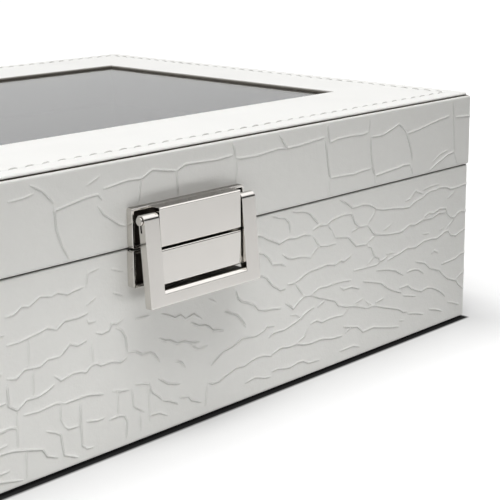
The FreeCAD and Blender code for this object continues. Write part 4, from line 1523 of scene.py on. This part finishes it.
@dataclass
class Hinges:
    """The two butt hinges on the back with their cross headed screws."""

    leaf_edge: float = 0.15
    head_radius: float = 1.9
    dome: float = 0.75
    cross_length: float = 2.3
    cross_width: float = 0.5
    cross_depth: float = 0.55

    def build(self) -> list[bpy.types.Object]:
        """Makes the hinges' pieces.

        Returns:
            The finished pieces.
        """
        made = []
        for word in ("left", "right"):
            for part, body in (("base_leaf", "base"), ("lid_leaf", "lid"), ("pin", "base")):
                node = f"hinge_{part}_{word}"
                piece = softened(node, f"plated_{node}", self.leaf_edge)
                made.append(settle(piece, body, HINGE_PLATE.material(), [node]))
        for body in ("base", "lid"):
            made.append(self.screws(f"hinge_{body}_screws", body))
        return made

    def one_head(self) -> bpy.types.Object:
        """One domed head with a cross recess, facing +Y at the origin.

        Returns:
            The head with a stub of its shank.
        """
        deselect()
        bpy.ops.mesh.primitive_cylinder_add(
            vertices=32, radius=self.head_radius * MM, depth=0.3 * MM, location=(0.0, 0.0, 0.15 * MM))
        head = bpy.context.object
        with editing(head):
            bpy.ops.mesh.select_all(action="DESELECT")
        top = [face for face in head.data.polygons if face.normal.z > 0.9]
        for face in top:
            face.select = True
        bpy.ops.object.mode_set(mode="EDIT")
        for share, rise in ((0.86, 0.2), (0.78, 0.13), (0.7, 0.08), (0.55, 0.04)):
            bpy.ops.mesh.extrude_region_move(TRANSFORM_OT_translate={"value": (0.0, 0.0, rise * MM)})
            bpy.ops.transform.resize(value=(share, share, 1.0))
        bpy.ops.object.mode_set(mode="OBJECT")
        for turn in (0.0, math.pi / 2):
            deselect()
            bpy.ops.mesh.primitive_cube_add(size=1.0, location=(0.0, 0.0, 0.75 * MM), rotation=(0.0, 0.0, turn))
            slot = bpy.context.object
            slot.scale = (self.cross_length * MM, self.cross_width * MM, 2 * self.cross_depth * MM)
            bpy.ops.object.transform_apply(location=True, rotation=True, scale=True)
            apply_modifier(head, "BOOLEAN", object=slot, operation="DIFFERENCE", solver="EXACT")
            bpy.data.objects.remove(slot)
        apply_modifier(head, "BEVEL", width=0.06 * MM, segments=2, limit_method="ANGLE",
                       angle_limit=math.radians(40.0))
        head.data.transform(Matrix.Rotation(-math.pi / 2, 4, "X"))
        return head

    def screws(self, node: str, body: str) -> bpy.types.Object:
        """The screws of one row of leaves as one piece.

        Args:
            node: The CAD node that they replace.
            body: The body that they ride on.

        Returns:
            The finished piece.
        """
        low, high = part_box(node)
        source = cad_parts[node]
        middles = self.middles(source)
        head = self.one_head()
        draw = np.random.default_rng(31)
        copies = []
        for x, z in middles:
            copy = bpy.data.objects.new("screw", head.data.copy())
            bpy.context.scene.collection.objects.link(copy)
            copy.data.transform(Matrix.Rotation(draw.uniform(0.0, math.pi), 4, "Y"))
            copy.data.transform(Matrix.Translation((x, high.y - 0.6 * MM, z)))
            copies.append(copy)
        bpy.data.objects.remove(head)
        deselect()
        for copy in copies:
            copy.select_set(True)
        bpy.context.view_layer.objects.active = copies[0]
        bpy.ops.object.join()
        thing = bpy.context.object
        thing.name = f"cross_{node}"
        thing.data.name = thing.name
        activate(thing)
        bpy.ops.object.shade_smooth_by_angle(angle=math.radians(35.0))
        return settle(thing, body, HINGE_PLATE.material(), [node])

    @staticmethod
    def middles(source: bpy.types.Object) -> list[tuple[float, float]]:
        """The middle of each screw of a CAD node, in metres."""
        points = np.array([source.matrix_world @ vertex.co for vertex in source.data.vertices])
        xs = sorted(points[:, 0])
        groups = [[xs[0]]]
        for value in xs[1:]:
            if value - groups[-1][-1] > 2.0 * MM:
                groups.append([])
            groups[-1].append(value)
        z = float((points[:, 2].min() + points[:, 2].max()) / 2)
        return [((group[0] + group[-1]) / 2, z) for group in groups]


# Lining


@dataclass
class Lining:
    """Velvet on the boards of the room, the dividers, the floor pads and the lid."""

    edge: float = 0.6
    crown: float = 1.0
    pinch: float = 0.7
    pads: int = 4
    dividers: int = 3

    def build(self) -> list[bpy.types.Object]:
        """Makes the lined pieces.

        Returns:
            The finished pieces.
        """
        made = []
        velvet = LINING.material()
        for side in ("front", "back", "left", "right"):
            piece = softened(f"liner_{side}", f"velvet_liner_{side}", self.edge)
            made.append(settle(piece, "base", velvet, [f"liner_{side}"]))
        for index in range(1, self.dividers + 1):
            piece = softened(f"divider_{index}", f"velvet_divider_{index}", self.edge)
            made.append(settle(piece, "base", velvet, [f"divider_{index}"]))
        for index in range(1, self.pads + 1):
            made.append(self.pad(index))
        dress(velvet, "lid_ceiling_lining", *(f"lid_{side}_lining" for side in ("front", "back", "left", "right")))
        return made

    def pad(self, index: int) -> bpy.types.Object:
        """One crowned floor pad, its sides drawn in between the corners.

        Args:
            index: The compartment's number.

        Returns:
            The finished piece.
        """
        node = f"floor_pad_{index}"
        low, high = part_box(node)
        middle = (low + high) / 2
        size = high - low
        deselect()
        bpy.ops.mesh.primitive_cube_add(size=1.0, location=middle)
        pad = bpy.context.object
        pad.name = f"velvet_{node}"
        pad.data.name = pad.name
        pad.scale = size
        bpy.ops.object.transform_apply(location=True, rotation=True, scale=True)
        apply_modifier(pad, "BEVEL", width=1.2 * MM, segments=3, limit_method="ANGLE")
        with editing(pad):
            for axis, count in ((0, 16), (1, 44)):
                for part in range(1, count):
                    place = Vector(low)
                    place[axis] = low[axis] + size[axis] * part / count
                    normal = Vector((0.0, 0.0, 0.0))
                    normal[axis] = 1.0
                    bpy.ops.mesh.select_all(action="SELECT")
                    bpy.ops.mesh.bisect(plane_co=place, plane_no=normal)
        for vertex in pad.data.vertices:
            u = 2.0 * (vertex.co.x - middle.x) / size.x
            v = 2.0 * (vertex.co.y - middle.y) / size.y
            rise = (vertex.co.z - low.z) / size.z
            dome = max(1.0 - u ** 4, 0.0) ** 0.5 * max(1.0 - v ** 8, 0.0) ** 0.5
            vertex.co.z += rise * MM * (self.crown * dome - 0.4)
            vertex.co.x -= self.pinch * MM * u ** 3 * (1.0 - v * v) * (0.4 + 0.6 * rise)
            vertex.co.y -= self.pinch * MM * v ** 3 * (1.0 - u * u) * (0.4 + 0.6 * rise)
        activate(pad)
        bpy.ops.object.shade_smooth_by_angle(angle=math.radians(60.0))
        return settle(pad, "base", LINING.material(), [node])


# Stage


@dataclass
class Studio:
    """Floor, surroundings, lamps and the camera of the photograph's view."""

    eye: tuple[float, float, float] = (-0.2521395, -0.369939, 0.150921)
    pitch: float = math.radians(-13.8255)
    yaw: float = math.radians(47.3041)
    roll: float = -0.00481
    lens: float = 94.91
    shift: tuple[float, float] = (-0.0638, -0.0421)
    ambient: float = 0.09
    floor_colour: tuple[float, float, float] = (0.86, 0.86, 0.86)
    floor_bounce: tuple[float, float, float] = (0.36, 0.36, 0.355)
    # Darkening of the painted shadow round the foot: a soft wide ring and a thin dark line along the foot.
    halo_shadow: float = 0.8
    contact_shadow: float = 0.03
    foot_lift: float = 0.0
    near_lift: float = 0.16
    far_lift: float = 0.7
    # Painted glow of the floor in reflections, near the box and far from it.
    mirror_near: float = 0.2
    mirror_far: float = 0.06
    band: float = 0.08
    beyond: float = 0.7
    zenith: float = 1.5

    def build(self) -> None:
        """Makes the whole stage."""
        scene = bpy.context.scene
        scene.view_settings.view_transform = "Standard"
        self.camera()
        self.floor()
        self.world()
        self.lamps()

    def camera(self) -> None:
        """Places the camera."""
        facing = Vector((
            math.sin(self.yaw) * math.cos(self.pitch), math.cos(self.yaw) * math.cos(self.pitch), math.sin(self.pitch)))
        level = Vector((math.cos(self.yaw), -math.sin(self.yaw), 0.0))
        upright = level.cross(facing)
        right = math.cos(self.roll) * level + math.sin(self.roll) * upright
        up = -math.sin(self.roll) * level + math.cos(self.roll) * upright
        data = bpy.data.cameras.new("view")
        data.sensor_width = 36.0
        data.lens = self.lens
        data.shift_x, data.shift_y = self.shift
        data.clip_start = 0.01
        camera = bpy.data.objects.new("view", data)
        turn = Matrix((right, up, -facing)).transposed().to_4x4()
        camera.matrix_world = Matrix.Translation(self.eye) @ turn
        bpy.context.scene.collection.objects.link(camera)
        bpy.context.scene.camera = camera

    def floor(self) -> None:
        """Lays a pale floor that keeps the shadow and fades into the white background. For the camera it also carries a
        painted shadow round the foot, and in reflections a painted glow near the box.
        """
        deselect()
        bpy.ops.mesh.primitive_plane_add(size=12.0, location=(0.0, 0.0, 0.0))
        floor = bpy.context.object
        floor.name = "studio_floor"
        paint = Paint("studio_floor")
        path = paint.add("ShaderNodeLightPath")
        beyond = paint.add("ShaderNodeVectorMath", {0: paint.place}, operation="ABSOLUTE").outputs[0]
        beyond = paint.add("ShaderNodeVectorMath", {0: beyond, 1: (0.1424, 0.0995, 0.0)}, operation="SUBTRACT").outputs[0]
        beyond = paint.add("ShaderNodeVectorMath", {0: beyond, 1: (0.0, 0.0, 0.0)}, operation="MAXIMUM").outputs[0]
        away = paint.add("ShaderNodeVectorMath", {0: beyond}, operation="LENGTH").outputs["Value"]
        lift = paint.spread(away, self.foot_lift, self.foot_lift + self.near_lift, 0.0, 0.03)
        lift = paint.combine("ADD", lift, paint.spread(away, 0.0, self.far_lift, 0.03, 0.55))
        lift = paint.combine("MULTIPLY", lift, path.outputs["Is Camera Ray"])
        # Painted glow: in reflections the floor shines brighter near the box.
        glossy = paint.spread(away, self.mirror_near, self.mirror_far, 0.1, 0.22)
        glossy = paint.combine("MULTIPLY", glossy, path.outputs["Is Glossy Ray"])
        # Painted shadow: for camera rays the floor darkens in a soft ring round the foot and in a thin line along it.
        near = paint.spread(away, 0.0, 1.0, 0.003, 0.035)
        seen = paint.blend(near, opaque(self.floor_colour, self.halo_shadow), opaque(self.floor_colour))
        near = paint.spread(away, 0.0, 1.0, 0.0004, 0.0016)
        seen = paint.blend(near, opaque(self.floor_colour, self.contact_shadow), seen)
        seen = paint.blend(path.outputs["Is Camera Ray"], opaque(self.floor_colour), seen)
        paint.finish({
            "Base Color": paint.blend(path.outputs["Is Diffuse Ray"], seen, opaque(self.floor_bounce)),
            "Roughness": 0.9,
            "Specular IOR Level": 0.0,
            "Emission Color": (1.0, 1.0, 1.0, 1.0),
            "Emission Strength": paint.combine("ADD", lift, glossy),
        })
        floor.data.materials.append(paint.material)

    def world(self) -> None:
        """Surrounds the stage with white that lights it softly.

        Polished metal sees a darker band low above the horizon towards the front.
        """
        world = bpy.data.worlds.new("studio")
        world.use_nodes = True
        tree = world.node_tree
        back = tree.nodes["Background"]
        back.inputs["Color"].default_value = (1.0, 1.0, 1.0, 1.0)
        path = tree.nodes.new("ShaderNodeLightPath").outputs
        place = tree.nodes.new("ShaderNodeTexCoord").outputs["Object"]
        split = tree.nodes.new("ShaderNodeSeparateXYZ")
        tree.links.new(place, split.inputs["Vector"])

        def ramp(value: object, start: float, end: float, low: object, high: object) -> bpy.types.NodeSocket:
            """A soft ramp between two values."""
            node = tree.nodes.new("ShaderNodeMapRange")
            node.interpolation_type = "SMOOTHSTEP"
            for key, item in (("Value", value), ("From Min", start), ("From Max", end), ("To Min", low),
                              ("To Max", high)):
                if isinstance(item, bpy.types.NodeSocket):
                    tree.links.new(item, node.inputs[key])
                else:
                    node.inputs[key].default_value = item
            return node.outputs["Result"]

        rising = ramp(split.outputs["Z"], 0.0, 0.04, 0.0, 1.0)
        band = ramp(split.outputs["Z"], 0.36, 0.5, rising, 0.0)
        band = ramp(split.outputs["Y"], -0.2, 0.1, band, 0.0)
        behind = ramp(split.outputs["X"], 0.45, 0.9, self.beyond + 0.04, self.beyond - 0.08)
        behind = ramp(split.outputs["Z"], 0.3, 0.6, behind, 1.0)
        open_sky = ramp(split.outputs["Y"], 0.0, 0.3, 1.0, behind)
        open_sky = ramp(split.outputs["Z"], 0.52, 0.62, open_sky, self.zenith)
        mirrored = ramp(band, 0.0, 1.0, open_sky, self.band)
        seen = ramp(path["Is Glossy Ray"], 0.0, 1.0, 1.0, mirrored)
        strength = ramp(path["Is Diffuse Ray"], 0.0, 1.0, seen, self.ambient)
        tree.links.new(strength, back.inputs["Strength"])
        bpy.context.scene.world = world

    def lamps(self) -> None:
        """Hangs a wide soft lamp above, a low strip in front, and lamps behind, at the right and at the left."""
        self.lamp("overhead", (-0.12, -0.42, 1.3), (0.0, 0.0, 0.08), (1.2, 0.7), 15.8)
        self.lamp("low_strip", (-0.1, -0.2, 0.024), (-0.1, 0.0, 0.024), (0.44, 0.03), 0.09)
        self.lamp("behind", (0.0, 1.3, 0.3), (0.0, 0.0, 0.05), (1.4, 0.4), 6.0)
        self.lamp("right", (1.3, 0.1, 0.3), (0.0, 0.1, 0.05), (0.8, 0.4), 5.0)
        self.lamp("left", (-1.3, 0.5, 0.3), (0.0, 0.0, 0.05), (0.8, 0.4), 5.0)

    def lamp(self, name: str, place: Sequence[float], target: Sequence[float], size: Sequence[float],
             power: float) -> None:
        """Hangs one oblong lamp that lights without being seen.

        Args:
            name: The lamp's name.
            place: Where it hangs.
            target: What it faces.
            size: The lengths of its sides in metres.
            power: Its power in watts.
        """
        data = bpy.data.lights.new(name, "AREA")
        data.shape = "RECTANGLE"
        data.size, data.size_y = size
        data.energy = power
        lamp = bpy.data.objects.new(name, data)
        lamp.location = place
        lamp.rotation_euler = (Vector(target) - Vector(place)).to_track_quat("-Z", "Y").to_euler()
        lamp.visible_camera = False
        lamp.visible_glossy = False
        lamp.visible_transmission = False
        bpy.context.scene.collection.objects.link(lamp)


def main() -> None:
    """Builds every sub-assembly in order."""
    logging.basicConfig(level=logging.INFO, format="%(name)s: %(message)s")
    Studio().build()
    made = base_strip().build()
    made += lid_strip().build()
    made += TopCover().build()
    made += Clasp().build()
    made += Hinges().build()
    made += Lining().build()
    dress(FELT.material(), "base_sole")
    dress(DARK_BOARD.material(), "base_floor_board")
    dress(BOARD.material(), *(f"base_{side}_board" for side in ("front", "back", "left", "right")))
    dress(BOARD.material(), *(f"lid_{side}_rail" for side in ("front", "back", "left", "right")))
    dress(DARK_BOARD.material(), *(f"lid_{side}_top_board" for side in ("front", "back", "left", "right")))
    dress(GLASS.material(), "glass_pane")
    log.info("%d new pieces", len(made))


if __name__ == "__main__":
    main()
